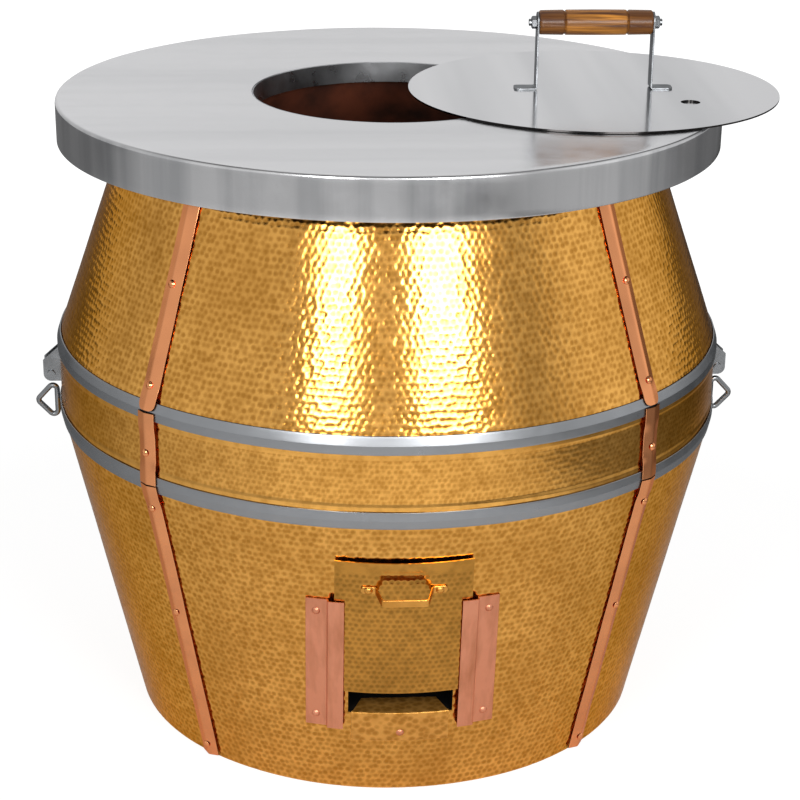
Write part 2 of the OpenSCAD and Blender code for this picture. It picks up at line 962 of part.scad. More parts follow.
// Places children in the door's own frame: x across it, y up its slope and z
// out of it, with the origin at the middle of its lower edge
module on_door() {
    translate([0, -barrel_r(door_z), door_z])
        rotate([90 + door_lean, 0, 0])
            children();
}

// A curved plate round the door's middle line, off out from the shell's line
module door_curved(length, width, off, t) {
    intersection() {
        translate([0, 0, off - door_curve])
            rotate([-90, 0, 0])
                difference() {
                    cylinder(r = door_curve + t, h = length);
                    translate([0, 0, -1])
                        cylinder(r = door_curve, h = length + 2);
                }
        translate([-width / 2, -1, -door_curve / 2])
            cube([width, length + 2, door_curve]);
    }
}

// How far the door's curve has fallen back at x
function door_sag(x) = door_curve - sqrt(door_curve * door_curve - x * x);

module ash_door() {
    color(brass)
        on_door()
            difference() {
                door_curved(door_l, door_w, door_gap, door_t);
                at_pull_rivets()
                    rivet_hole();
            }
}

// Places children at the rivets of the door's handle, on the door's face
module at_pull_rivets() {
    for (side = sides)
        translate([side * pull_rivets / 2, door_l - pull_down, door_gap + door_t])
            children();
}

// The handle is one brass strip, bent to a flat-topped hat
module door_pull() {
    foot_in = pull_rivets / 2 - pull_foot;
    foot_out = pull_rivets / 2 + pull_foot;
    low = door_gap + door_t + fit;
    high = door_gap + door_t + pull_out;
    sag_in = door_sag(foot_in);
    sag_out = door_sag(foot_out);
    t = pull_t;
    color(brass)
        on_door()
            difference() {
                translate([0, door_l - pull_down + pull_w / 2, 0])
                    rotate([90, 0, 0])
                        linear_extrude(pull_w)
                            polygon([
                                [-foot_out, low - sag_out],
                                [-foot_in, low - sag_in],
                                [-pull_bar / 2, high - t],
                                [pull_bar / 2, high - t],
                                [foot_in, low - sag_in],
                                [foot_out, low - sag_out],
                                [foot_out, low - sag_out + t],
                                [foot_in + t / 2, low - sag_in + t],
                                [pull_bar / 2 + t / 2, high],
                                [-pull_bar / 2 - t / 2, high],
                                [-foot_in - t / 2, low - sag_in + t],
                                [-foot_out, low - sag_out + t]
                            ]);
                at_pull_rivets()
                    rivet_hole();
            }
}

module door_pull_rivets() {
    color(brass)
        on_door()
            at_pull_rivets()
                rivet(pull_t + fit + pull_rivet_rise - door_sag(pull_rivets / 2),
                    door_t + door_sag(pull_rivets / 2) + pull_rivet_tail);
}

// ---------------------------------------------------------------- lifting rings

// Places children at one side: x runs out from the barrel's axis
module at_side(side) {
    rotate([0, 0, side > 0 ? 0 : 180])
        children();
}

// A lug is a plate with two cheeks, round at their lower outer corner
module lug(side) {
    wide = lug_gap + 2 * lug_t;
    corner = pin_up;
    color(steel)
        at_side(side)
            difference() {
                union() {
                    translate([lug_seat, -wide / 2, lug_z])
                        cube([lug_t, wide, lug_h]);
                    for (s = sides)
                        translate([0, s * cheek_mid + lug_t / 2, 0])
                            rotate([90, 0, 0])
                                linear_extrude(lug_t)
                                    union() {
                                        polygon([
                                            [lug_seat, lug_z],
                                            [pin_r, lug_z],
                                            [pin_r + corner, pin_z],
                                            [pin_r + corner, lug_z + lug_h - lug_slope],
                                            [lug_face, lug_z + lug_h],
                                            [lug_seat, lug_z + lug_h]
                                        ]);
                                        translate([pin_r, pin_z])
                                            circle(r = corner);
                                    }
                }
                translate([pin_r, 0, pin_z])
                    rotate([90, 0, 0])
                        cylinder(d = pin_d + 2 * pin_seat, h = 2 * wide, center = true);
            }
}

// A pin with a round head at each end
module lug_pin(side) {
    half = lug_gap / 2 + lug_t + fit;
    color(steel)
        at_side(side)
            translate([pin_r, 0, pin_z])
                rotate([90, 0, 0]) {
                    cylinder(d = pin_d, h = 2 * half + pin_head_t, center = true);
                    for (s = sides)
                        translate([0, 0, s * (half + pin_head_t / 2)])
                            cylinder(d = pin_d + 2 * pin_head_w, h = pin_head_t, center = true);
                }
}

// A straight rod between two points of the ring's plane, with a forged knuckle
// at its start
module ring_leg(a, b) {
    d = b - a;
    translate([a[0], 0, a[1]]) {
        rotate([0, atan2(d[0], d[1]), 0])
            cylinder(d = ring_rod, h = norm(d));
        sphere(d = ring_joint_d);
    }
}

// The ring hangs from an eye round the pin. Its inner side is upright.
module lifting_ring(side) {
    top = [-ring_back, -eye_d / 2 - ring_rod / 4];
    low = [-ring_back, -ring_side];
    tip = [ring_reach - ring_back, (top[1] + low[1]) / 2];
    color(steel)
        at_side(side)
            translate([pin_r, 0, pin_z])
                difference() {
                    union() {
                        rotate([90, 0, 0])
                            cylinder(d = eye_d, h = eye_w, center = true);
                        ring_leg(top, low);
                        ring_leg(low, tip);
                        ring_leg(tip, top);
                    }
                    rotate([90, 0, 0])
                        cylinder(d = pin_d + 2 * ring_play, h = 2 * lug_gap, center = true);
                }
}

// ---------------------------------------------------------------- lid

module lid_plate() {
    color(steel)
        translate([lid_x, 0, lid_z])
            difference() {
                cylinder(d = lid_d, h = lid_t, $fn = 180);
                translate([vent_x, -vent_y, -1])
                    cylinder(d = vent_d, h = lid_t + 2);
            }
}

// A bracket stands on a foot that is turned outwards
module lid_bracket(side) {
    half = bracket_w / 2;
    tall = grip_z + bracket_top - half;
    color(steel)
        translate([lid_x, 0, lid_top])
            mirror([side > 0 ? 0 : 1, 0, 0])
                difference() {
                    union() {
                        translate([bracket_x, -half, 0])
                            cube([bracket_foot, bracket_w, bracket_t]);
                        translate([bracket_x, -half, 0])
                            cube([bracket_t, bracket_w, tall]);
                        translate([bracket_x, 0, tall])
                            rotate([0, 90, 0])
                                cylinder(r = half, h = bracket_t);
                    }
                    translate([bracket_x - 1, 0, grip_z])
                        rotate([0, 90, 0])
                            cylinder(d = rod_d + fit, h = bracket_t + 2);
                }
}

module grip_rod() {
    color(steel)
        translate([lid_x, 0, rod_z])
            rotate([0, 90, 0])
                cylinder(d = rod_d, h = rod_l, center = true);
}

module grip_nuts() {
    color(steel)
        for (side = sides)
            translate([lid_x + side * (nut_x + nut_h / 2), 0, rod_z])
                rotate([0, 90, 0])
                    difference() {
                        cylinder(d = nut_w / cos(30), h = nut_h, center = true, $fn = 6);
                        cylinder(d = rod_d + fit / 2, h = nut_h + 2, center = true);
                    }
}

// Radius of the grip at a distance from its middle
function grip_r(x) = grip_d / 2 - grip_taper * pow(2 * x / grip_l, 2);

// The grip is turned: its ends are eased and a groove runs near each end
module wooden_grip() {
    half = grip_l / 2;
    g = half - grip_groove_in;
    w = grip_groove / 2;
    bore = rod_d / 2 + grip_play;
    color(wood)
        translate([lid_x, 0, rod_z])
            rotate([0, 90, 0])
                rotate_extrude()
                    polygon([
                        [bore, -half],
                        [grip_r(half) - grip_ease, -half],
                        [grip_r(half), grip_ease - half],
                        [grip_r(g), -g - w],
                        [grip_r(g) - grip_groove_depth, -g],
                        [grip_r(g), -g + w],
                        [grip_r(0), 0],
                        [grip_r(g), g - w],
                        [grip_r(g) - grip_groove_depth, g],
                        [grip_r(g), g + w],
                        [grip_r(half), half - grip_ease],
                        [grip_r(half) - grip_ease, half],
                        [bore, half]
                    ]);
}

// ---------------------------------------------------------------- nodes

base_plate();
base_ring();
lower_shell();
belt();
upper_shell();
lower_hoop();
upper_hoop();
upper_strap(0);  // upper_strap_1
upper_strap(1);  // upper_strap_2
upper_strap(2);  // upper_strap_3
upper_strap(3);  // upper_strap_4
belt_strap(0);  // belt_strap_1
belt_strap(1);  // belt_strap_2
belt_strap(2);  // belt_strap_3
belt_strap(3);  // belt_strap_4
lower_strap(0);  // lower_strap_1
lower_strap(1);  // lower_strap_2
lower_strap(2);  // lower_strap_3
lower_strap(3);  // lower_strap_4
strap_rivets();
worktop();
deck_plate();
deck_gussets();
mouth_collar();
mouth_seal();
clay_pot_base();
clay_pot_belly();
clay_pot_shoulder();
hearth_slab();
charcoal_grate();
grate_feet();
insulation_lower();
insulation_upper();
ash_duct();
ash_sill();
door_rail(-1);  // door_rail_left
door_rail(1);  // door_rail_right
door_rivets();
ash_door();
door_pull();
door_pull_rivets();
lug(-1);  // lug_left
lug(1);  // lug_right
lug_pin(-1);  // lug_pin_left
lug_pin(1);  // lug_pin_right
lifting_ring(-1);  // lifting_ring_left
lifting_ring(1);  // lifting_ring_right
lid_plate();
lid_bracket(-1);  // lid_bracket_left
lid_bracket(1);  // lid_bracket_right
grip_rod();
grip_nuts();
wooden_grip();
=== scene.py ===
"""Looks of a clay tandoor oven: hammered brass barrel, copper straps, steel worktop and lid, clay pot.

Every length is in metres. The origin is on the floor, on the barrel's axis, +Z is up and the ash door faces -Y.
A turn is an angle round the barrel, 0 at the middle of the ash door and 90 degrees at +X.
"""

import math

import bpy
import numpy as np
from mathutils import Matrix, Vector


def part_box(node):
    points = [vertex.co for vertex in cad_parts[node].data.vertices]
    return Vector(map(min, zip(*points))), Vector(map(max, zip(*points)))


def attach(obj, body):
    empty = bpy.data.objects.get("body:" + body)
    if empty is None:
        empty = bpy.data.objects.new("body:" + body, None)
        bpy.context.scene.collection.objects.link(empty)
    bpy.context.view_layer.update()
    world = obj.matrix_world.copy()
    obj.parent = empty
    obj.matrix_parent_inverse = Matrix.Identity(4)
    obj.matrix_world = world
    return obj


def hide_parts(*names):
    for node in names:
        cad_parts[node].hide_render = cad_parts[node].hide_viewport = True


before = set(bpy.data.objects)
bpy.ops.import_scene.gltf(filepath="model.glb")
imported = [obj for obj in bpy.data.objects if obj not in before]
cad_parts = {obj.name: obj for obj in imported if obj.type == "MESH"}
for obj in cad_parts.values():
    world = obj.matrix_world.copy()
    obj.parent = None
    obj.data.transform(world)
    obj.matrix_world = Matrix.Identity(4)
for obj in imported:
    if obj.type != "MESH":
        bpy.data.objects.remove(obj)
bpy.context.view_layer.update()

bl_info = {
    "name": "Clay tandoor oven",
    "version": (1, 0, 0),
    "blender": (4, 5, 0),
    "location": "View3D > Sidebar > Tandoor",
    "description": "Dresses the frame of a clay tandoor oven in hammered brass, copper, steel, clay and wood",
    "category": "Object",
}

MM = 0.001


# ---------------------------------------------------------------- places taken from the frame

def node_points(node):
    """All vertices of a CAD node as an array of points."""
    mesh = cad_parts[node].data
    points = np.zeros(len(mesh.vertices) * 3)
    mesh.vertices.foreach_get("co", points)
    return points.reshape(-1, 3)


def rim_radius(node, height, slack=0.2 * MM):
    """Largest distance from the barrel's axis among a node's points at a height."""
    points = node_points(node)
    level = np.abs(points[:, 2] - height) < slack
    return float(np.hypot(points[level, 0], points[level, 1]).max())


def low(node):
    """Lowest corner of a node's box."""
    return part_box(node)[0]


def high(node):
    """Highest corner of a node's box."""
    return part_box(node)[1]


def middle(node):
    """Middle of a node's box."""
    return (low(node) + high(node)) / 2


BELT_R = high("belt").x
BELT_LOW = high("lower_shell").z
BELT_HIGH = low("upper_shell").z
DECK_Z = high("upper_shell").z
FOOT_R = rim_radius("lower_shell", 0)
NECK_R = rim_radius("upper_shell", DECK_Z)
TOP_Z = high("worktop").z
SKIRT_Z = low("worktop").z
WORKTOP_R = high("worktop").x
MOUTH_EDGE_R = float(np.hypot(*node_points("worktop")[:, :2].T).min())
LID_TOP = high("lid_plate").z
LID_X = middle("lid_plate").x
GRIP = middle("wooden_grip")
LOWER, BELT, UPPER = (0.0, BELT_LOW), (BELT_LOW, BELT_HIGH), (BELT_HIGH, DECK_Z)
X, Y, Z = np.eye(3)


def wall_radius(height):
    """Outer radius of the barrel: straight lines from foot to belt, up the belt, and in to the neck."""
    return np.interp(height, [0, BELT_LOW, BELT_HIGH, DECK_Z], [FOOT_R, BELT_R, BELT_R, NECK_R])


def wall_normal(stretch):
    """Outward and upward parts of the normal on a straight stretch of the barrel, and its slant length."""
    bottom, top = stretch
    run = {LOWER: BELT_R - FOOT_R, BELT: 0.0, UPPER: NECK_R - BELT_R}[stretch]
    slant = math.hypot(run, top - bottom)
    return (top - bottom) / slant, -run / slant, slant


def wall_points(turn, height, out, stretch):
    """Points of the barrel at a turn and height, moved out square to the wall. out is an array like the
    turns."""
    level, up, _ = wall_normal(stretch)
    radius = wall_radius(height) + out * level
    return np.stack([radius * np.sin(turn), -radius * np.cos(turn), height + out * up], -1)


# ---------------------------------------------------------------- settings that a user would change

def length(name, description, default):
    """A length in metres."""
    return bpy.props.FloatProperty(
        name=name, description=description, default=default, min=0.0, unit="LENGTH", subtype="DISTANCE",
        precision=5)


def angle(name, description, degrees):
    """An angle, given in degrees and kept in radians."""
    return bpy.props.FloatProperty(
        name=name, description=description, default=math.radians(degrees), unit="ROTATION", subtype="ANGLE")


def colour(name, description, rgb):
    """A colour as shares of red, green and blue light."""
    return bpy.props.FloatVectorProperty(
        name=name, description=description, default=rgb, size=3, min=0.0, max=1.0, subtype="COLOR")


class TandoorSizes(bpy.types.PropertyGroup):
    """Sizes of the details that the frame leaves to the looks"""

    strap_turn: angle("Strap turn", "Turn of the front straps from the ash door's middle", 44)
    strap_width: length("Strap width", "Width of a copper strap", 24 * MM)
    strap_thickness: length("Strap thickness", "Thickness of a copper strap", 1.2 * MM)
    strap_ridge: length("Strap fold", "Height of the fold along a strap's middle", 2.6 * MM)
    strap_lift: length("Strap lift", "Height of a strap's edges above the brass", 1.9 * MM)
    strap_drop: length("Strap drop", "How much lower a strap's edges lie beyond the hoops", 1.5 * MM)
    strap_tip: length("Strap tip", "Length of the tapered tip of an upper strap", 9 * MM)
    sheet: length("Sheet", "Thickness of the brass and steel sheet", 1.5 * MM)
    fit: length("Fit", "Gap between one sheet and the next", 0.2 * MM)
    mesh_step: length("Mesh step", "Distance between the points of a hammered surface", 1.75 * MM)
    unevenness: length("Unevenness", "Depth of the barrel's long waves", 0.45 * MM)
    cone_pitch: length("Dent spacing", "Distance between hammer blows on the barrel", 7.2 * MM)
    cone_depth: length("Dent depth", "Depth of a hammer blow on the barrel", 0.42 * MM)
    belt_pitch: length("Belt dent spacing", "Distance between hammer blows on the belt", 5.8 * MM)
    belt_depth: length("Belt dent depth", "Depth of a hammer blow on the belt", 0.22 * MM)
    belt_lip: length("Belt lip", "Width of the smooth lip along each edge of the belt", 5.5 * MM)
    belt_sink: length("Belt sink", "Depth of the hammered field below the belt's lips", 0.5 * MM)
    hoop_half: length("Hoop half", "Height of each half of a hoop, on either side of its fold", 10 * MM)
    hoop_waves: length("Hoop waves", "How far a hoop's radius wanders", 0.12 * MM)
    worktop_round: length("Worktop edge", "Rounding of the worktop's upper edge", 4 * MM)
    skirt_lip: length("Skirt lip", "Width of the lip turned in under the skirt", 12 * MM)
    top_waves: length("Worktop waves", "Depth of the slow waves in the worktop", 0.35 * MM)
    skirt_waves: length("Skirt waves", "Depth of the slow waves in the skirt", 0.3 * MM)
    pot_wall: length("Pot wall", "Thickness of the clay pot's wall", 34 * MM)
    belly_rise: length("Belly height", "Height of the pot's belly above the pot's lower joint", 46 * MM)
    pot_waves: length("Pot waves", "Depth of the hand-made waves in the clay", 1.2 * MM)
    door_pitch: length("Door dent spacing", "Distance between hammer blows on the ash door", 6.6 * MM)
    door_depth: length("Door dent depth", "Depth of a hammer blow on the ash door", 0.30 * MM)
    door_step: length("Door mesh step", "Distance between the points of the ash door's face", 1.3 * MM)
    door_plain: length("Door border", "Width of the smooth strip along the ash door's top", 13 * MM)
    door_gap: length("Door gap", "Gap between the shell and the ash door", 3.6 * MM)
    door_curve: length("Door curve", "Radius to which the ash door is curved", 345 * MM)
    pull_span: length("Handle span", "Distance from one rivet of the door's handle to the other", 76 * MM)
    pull_foot: length("Handle foot", "Length of the handle's feet beyond and within their rivets", 8 * MM)
    pull_bar: length("Handle bar", "Length of the door handle's bar", 48 * MM)
    pull_sheet: length("Handle strip", "Thickness of the door handle's strip", 1.6 * MM)
    pull_width: length("Handle width", "Width of the door handle's strip", 9 * MM)
    pull_out: length("Handle reach", "Distance of the handle's bar from the door", 23 * MM)
    pull_down: length("Handle place", "Distance of the handle below the ash door's upper edge", 35 * MM)
    rail_clear: length("Rail gap", "Visible width between the door's rails", 127 * MM)
    rail_raised: length("Rail flange", "Width of a rail's raised flange", 18 * MM)
    rail_lift: length("Rail lift", "Height of a rail's raised flange above the shell", 5.8 * MM)
    sill_taper: length("Sill taper", "Narrowing of the sill's tongue at each side", 12 * MM)
    bracket_sheet: length("Bracket sheet", "Thickness of the lid brackets' strip", 2 * MM)
    grip_bore: length("Grip bore", "Diameter of the bore through the grip", 8.16 * MM)
    grip_taper: length("Grip taper", "Thinning of the grip from its middle to its ends", 0.7 * MM)
    grip_groove_in: length("Groove place", "Distance from the grip's end to its turned groove", 29 * MM)
    grip_groove: length("Groove depth", "Depth of the grip's turned grooves", 1.6 * MM)
    nut_flats: length("Nut", "Width of the rod's nuts across their flats", 13 * MM)
    ring_rod: length("Ring rod", "Diameter of a lifting ring's rod", 6.5 * MM)
    ring_back: length("Ring place", "Distance of a ring's inner side from the line below its pin", 5 * MM)
    ring_corner: length("Ring corner", "Rounding of a ring's corners", 5 * MM)
    eye: length("Ring eye", "Diameter of the eye that a ring hangs from", 17 * MM)
    eye_width: length("Eye width", "Width of the eye that a ring hangs from", 11.4 * MM)
    eye_bore: length("Eye bore", "Diameter of the eye's bore", 6.12 * MM)


class TandoorColours(bpy.types.PropertyGroup):
    """Colours of the finishes"""

    brass: colour("Brass", "Polished brass on the webs between the dents", (0.85, 0.44, 0.105))
    brass_hollow: colour("Brass hollows", "Brass in the bottoms of the dents", (0.38, 0.155, 0.018))
    door_brass: colour("Door brass", "Duller brass of the ash door", (0.58, 0.28, 0.055))
    sill_brass: colour("Sill brass", "Rolled brass of the sill and the door's handle", (0.70, 0.34, 0.075))
    door_hollow: colour("Door hollows", "Brass in the bottoms of the ash door's dents", (0.22, 0.105, 0.018))
    copper: colour("Copper", "Polished copper of the straps", (0.86, 0.35, 0.15))
    rail_copper: colour("Rail copper", "Duller, pinker copper of the door's rails", (0.74, 0.31, 0.185))
    # The colour below is painted shade laid on the straps' cut edges, not a colour of the copper itself.
    copper_edge_painted_shade: colour("Copper edge", "Dark cut edges of the straps", (0.085, 0.028, 0.009))
    copper_tarnish: colour("Copper tarnish", "Darkened copper", (0.46, 0.17, 0.08))
    steel: colour("Steel", "Brushed stainless steel of the worktop and lid", (0.69, 0.69, 0.70))
    hoop_steel: colour("Hoop steel", "Rolled steel of the hoops", (0.31, 0.32, 0.335))
    collar_steel: colour("Collar steel", "Smoked steel of the mouth's collar", (0.62, 0.63, 0.65))
    bright_steel: colour("Bright steel", "Plain steel of rings, lugs, rod and nuts", (0.28, 0.29, 0.30))
    iron: colour("Iron", "Black iron and painted steel inside the oven", (0.035, 0.033, 0.032))
    iron_worn: colour("Worn iron", "Worn patches of the black iron", (0.075, 0.055, 0.045))
    clay: colour("Clay", "Fired clay of the pot", (0.14, 0.038, 0.019))
    soot: colour("Soot", "Smoked patches of the clay", (0.032, 0.014, 0.010))
    brick: colour("Fire brick", "Fire brick of the hearth", (0.32, 0.19, 0.11))
    wool: colour("Wool", "Mineral wool and ceramic rope", (0.55, 0.50, 0.39))
    wood_light: colour("Light wood", "Light grain of the varnished grip", (0.62, 0.25, 0.038))
    wood_dark: colour("Dark wood", "Dark grain of the varnished grip", (0.085, 0.028, 0.009))


def sizes():
    """The scene's sizes."""
    return bpy.context.scene.tandoor_sizes


def colours():
    """The scene's colours."""
    return bpy.context.scene.tandoor_colours


# ---------------------------------------------------------------- patterns on surfaces

def waves(points, size, seed, count=10):
    """A smooth unevenness between about -1 and 1: the mean of plane waves, each with its own direction and
    start, whose wavelength is about size."""
    rng = np.random.default_rng(seed)
    direction = rng.normal(size=(count, 3))
    direction /= np.linalg.norm(direction, axis=1, keepdims=True)
    stretch = rng.uniform(0.7, 1.4, count)
    start = rng.uniform(0, 2 * math.pi, count)
    total = np.zeros(points.shape[:-1])
    for way, factor, phase in zip(direction, stretch, start):
        total += np.sin(points @ way * (2 * math.pi * factor / size) + phase)
    return np.clip(total * 2.2 / count, -1, 1)


def waves_round(turn, radius, height, size, seed):
    """The same waves at points given by their turn and radius about the barrel's axis, and their height."""
    return waves(np.stack([radius * np.sin(turn), radius * np.cos(turn), height], -1), size, seed)


def ease(value):
    """A soft step: 0 below 0, 1 above 1, and 3 t squared less 2 t cubed between."""
    t = np.clip(value, 0, 1)
    return t * t * (3 - 2 * t)


def blows(across, along, row_length, pitch, seed, spread=1.06, jitter=0.2):
    """How deep each point lies in the nearest hammer blow, from 0 on the web to 1 at the middle of a hard
    blow.

    Blows lie in rows a pitch apart along the surface. Each row holds a whole number of blows, every
    other row is moved by half a blow, and each blow is moved by a small random share. A blow is a bowl:
    one less the square of the distance from its middle over its radius. across is a share of the row,
    from 0 to 1, and row_length gives a row's length from its distance along."""
    rng = np.random.default_rng(seed)
    rows = int(along.max() / pitch) + 3
    middles = (np.arange(rows) + 0.5) * pitch
    count = np.maximum(1, np.round(row_length(middles) / pitch)).astype(int)
    move = rng.uniform(-jitter, jitter, (rows, count.max(), 2))
    force = rng.uniform(0.6, 1.0, (rows, count.max()))
    deepest = np.zeros(np.broadcast(across, along).shape)
    row = np.floor(along / pitch).astype(int)
    for row_step in (-1, 0, 1):
        j = np.clip(row + row_step, 0, rows - 1)
        place = across * count[j] + 0.5 * (j % 2)
        for step in (-1, 0, 1):
            i = np.floor(place).astype(int) + step
            k = i % count[j]
            dx = (place - i - 0.5 - move[j, k, 0]) * row_length(along) / count[j]
            dy = along - middles[j] - move[j, k, 1] * pitch
            share = 1 - (dx * dx + dy * dy) / (spread * pitch / 2) ** 2
            deepest = np.maximum(deepest, force[j, k] * share)
    return deepest


# ---------------------------------------------------------------- outlines and lines

def corner_arc(before, corner, after, radius, steps):
    """Points of the arc that touches both sides of a corner. It turns about the centre of the touching
    circle."""
    before, corner, after = (np.array(p, float) for p in (before, corner, after))
    a = (before - corner) / np.linalg.norm(before - corner)
    b = (after - corner) / np.linalg.norm(after - corner)
    half = math.acos(max(-1.0, min(1.0, float(a @ b)))) / 2
    if radius <= 0 or half > math.radians(89):
        return corner[None, :]
    centre = corner + (a + b) / np.linalg.norm(a + b) * radius / math.sin(half)
    start, end = (corner + way * radius / math.tan(half) - centre for way in (a, b))
    side = 1 if start[0] * end[1] - start[1] * end[0] > 0 else -1
    turn = side * (math.pi - 2 * half) * np.arange(steps + 1) / steps
    return centre + np.stack([start[0] * np.cos(turn) - start[1] * np.sin(turn),
                              start[0] * np.sin(turn) + start[1] * np.cos(turn)], -1)


def rounded(corners, radii, steps=4):
    """A closed outline whose corners are arcs, each with its own radius."""
    radii = np.broadcast_to(radii, len(corners))
    arcs = [corner_arc(corners[i - 1], corners[i], corners[(i + 1) % len(corners)], radii[i], steps)
            for i in range(len(corners))]
    return np.concatenate(arcs)


def bent(corners, radius, steps=8):
    """An open line through corners, with each corner between its ends rounded to a radius."""
    arcs = [corner_arc(*corners[i - 1:i + 2], radius, steps) for i in range(1, len(corners) - 1)]
    return np.concatenate([[corners[0]]] + arcs + [[corners[-1]]])


def distances(line):
    """Distance of each point along a line from the line's start."""
    return np.concatenate([[0], np.cumsum(np.linalg.norm(np.diff(line, axis=0), axis=1))])


def square_to(steps):
    """The direction square to each step of a flat line, to its left."""
    ahead = steps / np.linalg.norm(steps, axis=1, keepdims=True)
    return np.stack([-ahead[:, 1], ahead[:, 0]], -1)


def at_places(line, places):
    """Points of a line at given distances from its start."""
    known = distances(line)
    return np.stack([np.interp(places, known, line[:, k]) for k in range(line.shape[1])], -1)


def split(line, step, closed=False):
    """A line with points added so that none lie further apart than a step."""
    if closed:
        line = np.concatenate([line, line[:1]])
    known = distances(line)
    places = np.concatenate([np.linspace(a, b, max(1, math.ceil((b - a) / step)) + 1)
                             for a, b in zip(known[:-1], known[1:])])
    places = places[np.concatenate([[True], np.diff(places) > 1e-7])]
    points = at_places(line, places)
    return points[:-1] if closed else points


# ---------------------------------------------------------------- meshes

def grid_faces(rows, columns, wrap_rows=False, wrap_columns=False):
    """The quads between the points of a grid, as index numbers. A wrapped grid joins its last line to its
    first."""
    r = np.arange(rows if wrap_rows else rows - 1)[:, None]
    c = np.arange(columns if wrap_columns else columns - 1)[None, :]
    up, on = (r + 1) % rows, (c + 1) % columns
    quads = np.stack([r * columns + c, r * columns + on, up * columns + on, up * columns + c], -1)
    return quads.reshape(-1, 4)


def swept(points, closed=False):
    """A closed surface from a grid of points, one section for each station of a path. A path that doesn't
    close gets a cap at each end."""
    stations, around = points.shape[:2]
    quads = grid_faces(stations, around, wrap_rows=closed, wrap_columns=True)
    last = (stations - 1) * around
    caps = [] if closed else [list(range(around - 1, -1, -1)), list(range(last, last + around))]
    return points, quads, caps


def turned(section, columns, origin=(0, 0, 0), along=Z, start=-Y, side=X, shape=None):
    """A closed section of (radius, height) turned round a line. A point goes to the origin, plus its height
    along the line, plus its radius times the cosine of the turn one way and the sine of it the other.
    shape may change the radius and height from the turn."""
    turn = np.linspace(0, 2 * math.pi, columns, endpoint=False)[:, None]
    radius, height = section[:, 0] + 0 * turn, section[:, 1] + 0 * turn
    if shape:
        radius, height = shape(turn, radius, height)
    around = np.cos(turn)[..., None] * start + np.sin(turn)[..., None] * side
    return swept(np.array(origin) + radius[..., None] * around + height[..., None] * along, closed=True)


def plate(front, back, kept, window=None):
    """A closed plate. Its front is a full grid of points, and its back has only the kept rows. window is
    (first row, last row, first column, last column) of a hole through both."""
    rows, columns = front.shape[:2]
    f = np.arange(rows * columns).reshape(rows, columns)
    b = rows * columns + np.arange(len(kept) * columns).reshape(len(kept), columns)
    fronts = np.stack([f[:-1, :-1], f[:-1, 1:], f[1:, 1:], f[1:, :-1]], -1)
    backs = np.stack([b[:-1, :-1], b[1:, :-1], b[1:, 1:], b[:-1, 1:]], -1)
    rims = [(f[0, 1:], f[0, :-1], b[0, :-1], b[0, 1:]), (f[-1, :-1], f[-1, 1:], b[-1, 1:], b[-1, :-1])]
    ends = [np.concatenate([f[:, 0], b[::-1, 0]]), np.concatenate([f[::-1, -1], b[:, -1]])]
    front_kept = np.ones(fronts.shape[:2], bool)
    back_kept = np.ones(backs.shape[:2], bool)
    if window:
        r0, r1, c0, c1 = window
        k0, k1 = kept.index(r0), kept.index(r1)
        front_kept[r0:r1, c0:c1] = False
        back_kept[k0:k1, c0:c1] = False
        span, on = slice(c0, c1), slice(c0 + 1, c1 + 1)
        rims += [(f[r0, span], f[r0, on], b[k0, on], b[k0, span]),
                 (f[r1, on], f[r1, span], b[k1, span], b[k1, on])]
        ends += [np.concatenate([f[r0:r1 + 1, c0][::-1], b[k0:k1 + 1, c0]]),
                 np.concatenate([f[r0:r1 + 1, c1], b[k0:k1 + 1, c1][::-1]])]
    quads = [fronts[front_kept], backs[back_kept]] + [np.stack(rim, -1) for rim in rims]
    points = np.concatenate([front.reshape(-1, 3), back.reshape(-1, 3)])
    return points, np.concatenate([q.reshape(-1, 4) for q in quads]), [list(end) for end in ends]


def kept_rows(rows, every, also=()):
    """Numbers of the rows that a plate's back keeps."""
    return sorted(set(range(0, rows, every)) | {rows - 1} | set(also))


def strip(line, half, thickness, origin, along_x, along_y, across, ease_edge=0.3 * MM):
    """A flat strip bent along a line in the plane of along_x and along_y. Its section is a rectangle with
    eased edges, half to each side of the line and half the thickness to each side of it."""
    normal = square_to(np.gradient(line, axis=0))
    t, e = thickness / 2, ease_edge
    side = np.array([-1, 1, 1, 1, 1, -1, -1, -1])
    inset = np.array([e, e, 0, 0, e, e, 0, 0])
    off = np.array([-t, -t, e - t, t - e, t, t, t - e, e - t])
    flat = line[:, None, :] + normal[:, None, :] * off[None, :, None]
    wide = side * np.maximum(np.broadcast_to(half, len(line))[:, None] - inset, 0.1 * MM)
    points = np.array(origin) + flat[..., :1] * along_x + flat[..., 1:] * along_y
    return swept(points + wide[..., None] * across)


def volume_of(points, quads, caps):
    """Signed volume inside the faces: the sum of the small pyramids from the middle to each face's
    triangles."""
    points = points - points.mean(0)
    fans = [quads[:, [0, 1, 2]], quads[:, [0, 2, 3]]]
    fans += [np.array([[cap[0], cap[i], cap[i + 1]] for i in range(1, len(cap) - 1)]) for cap in caps]
    total = 0.0
    for fan in fans:
        a, b, c = points[fan[:, 0]], points[fan[:, 1]], points[fan[:, 2]]
        total += float(np.einsum("ij,ij->i", a, np.cross(b, c)).sum())
    return total / 6


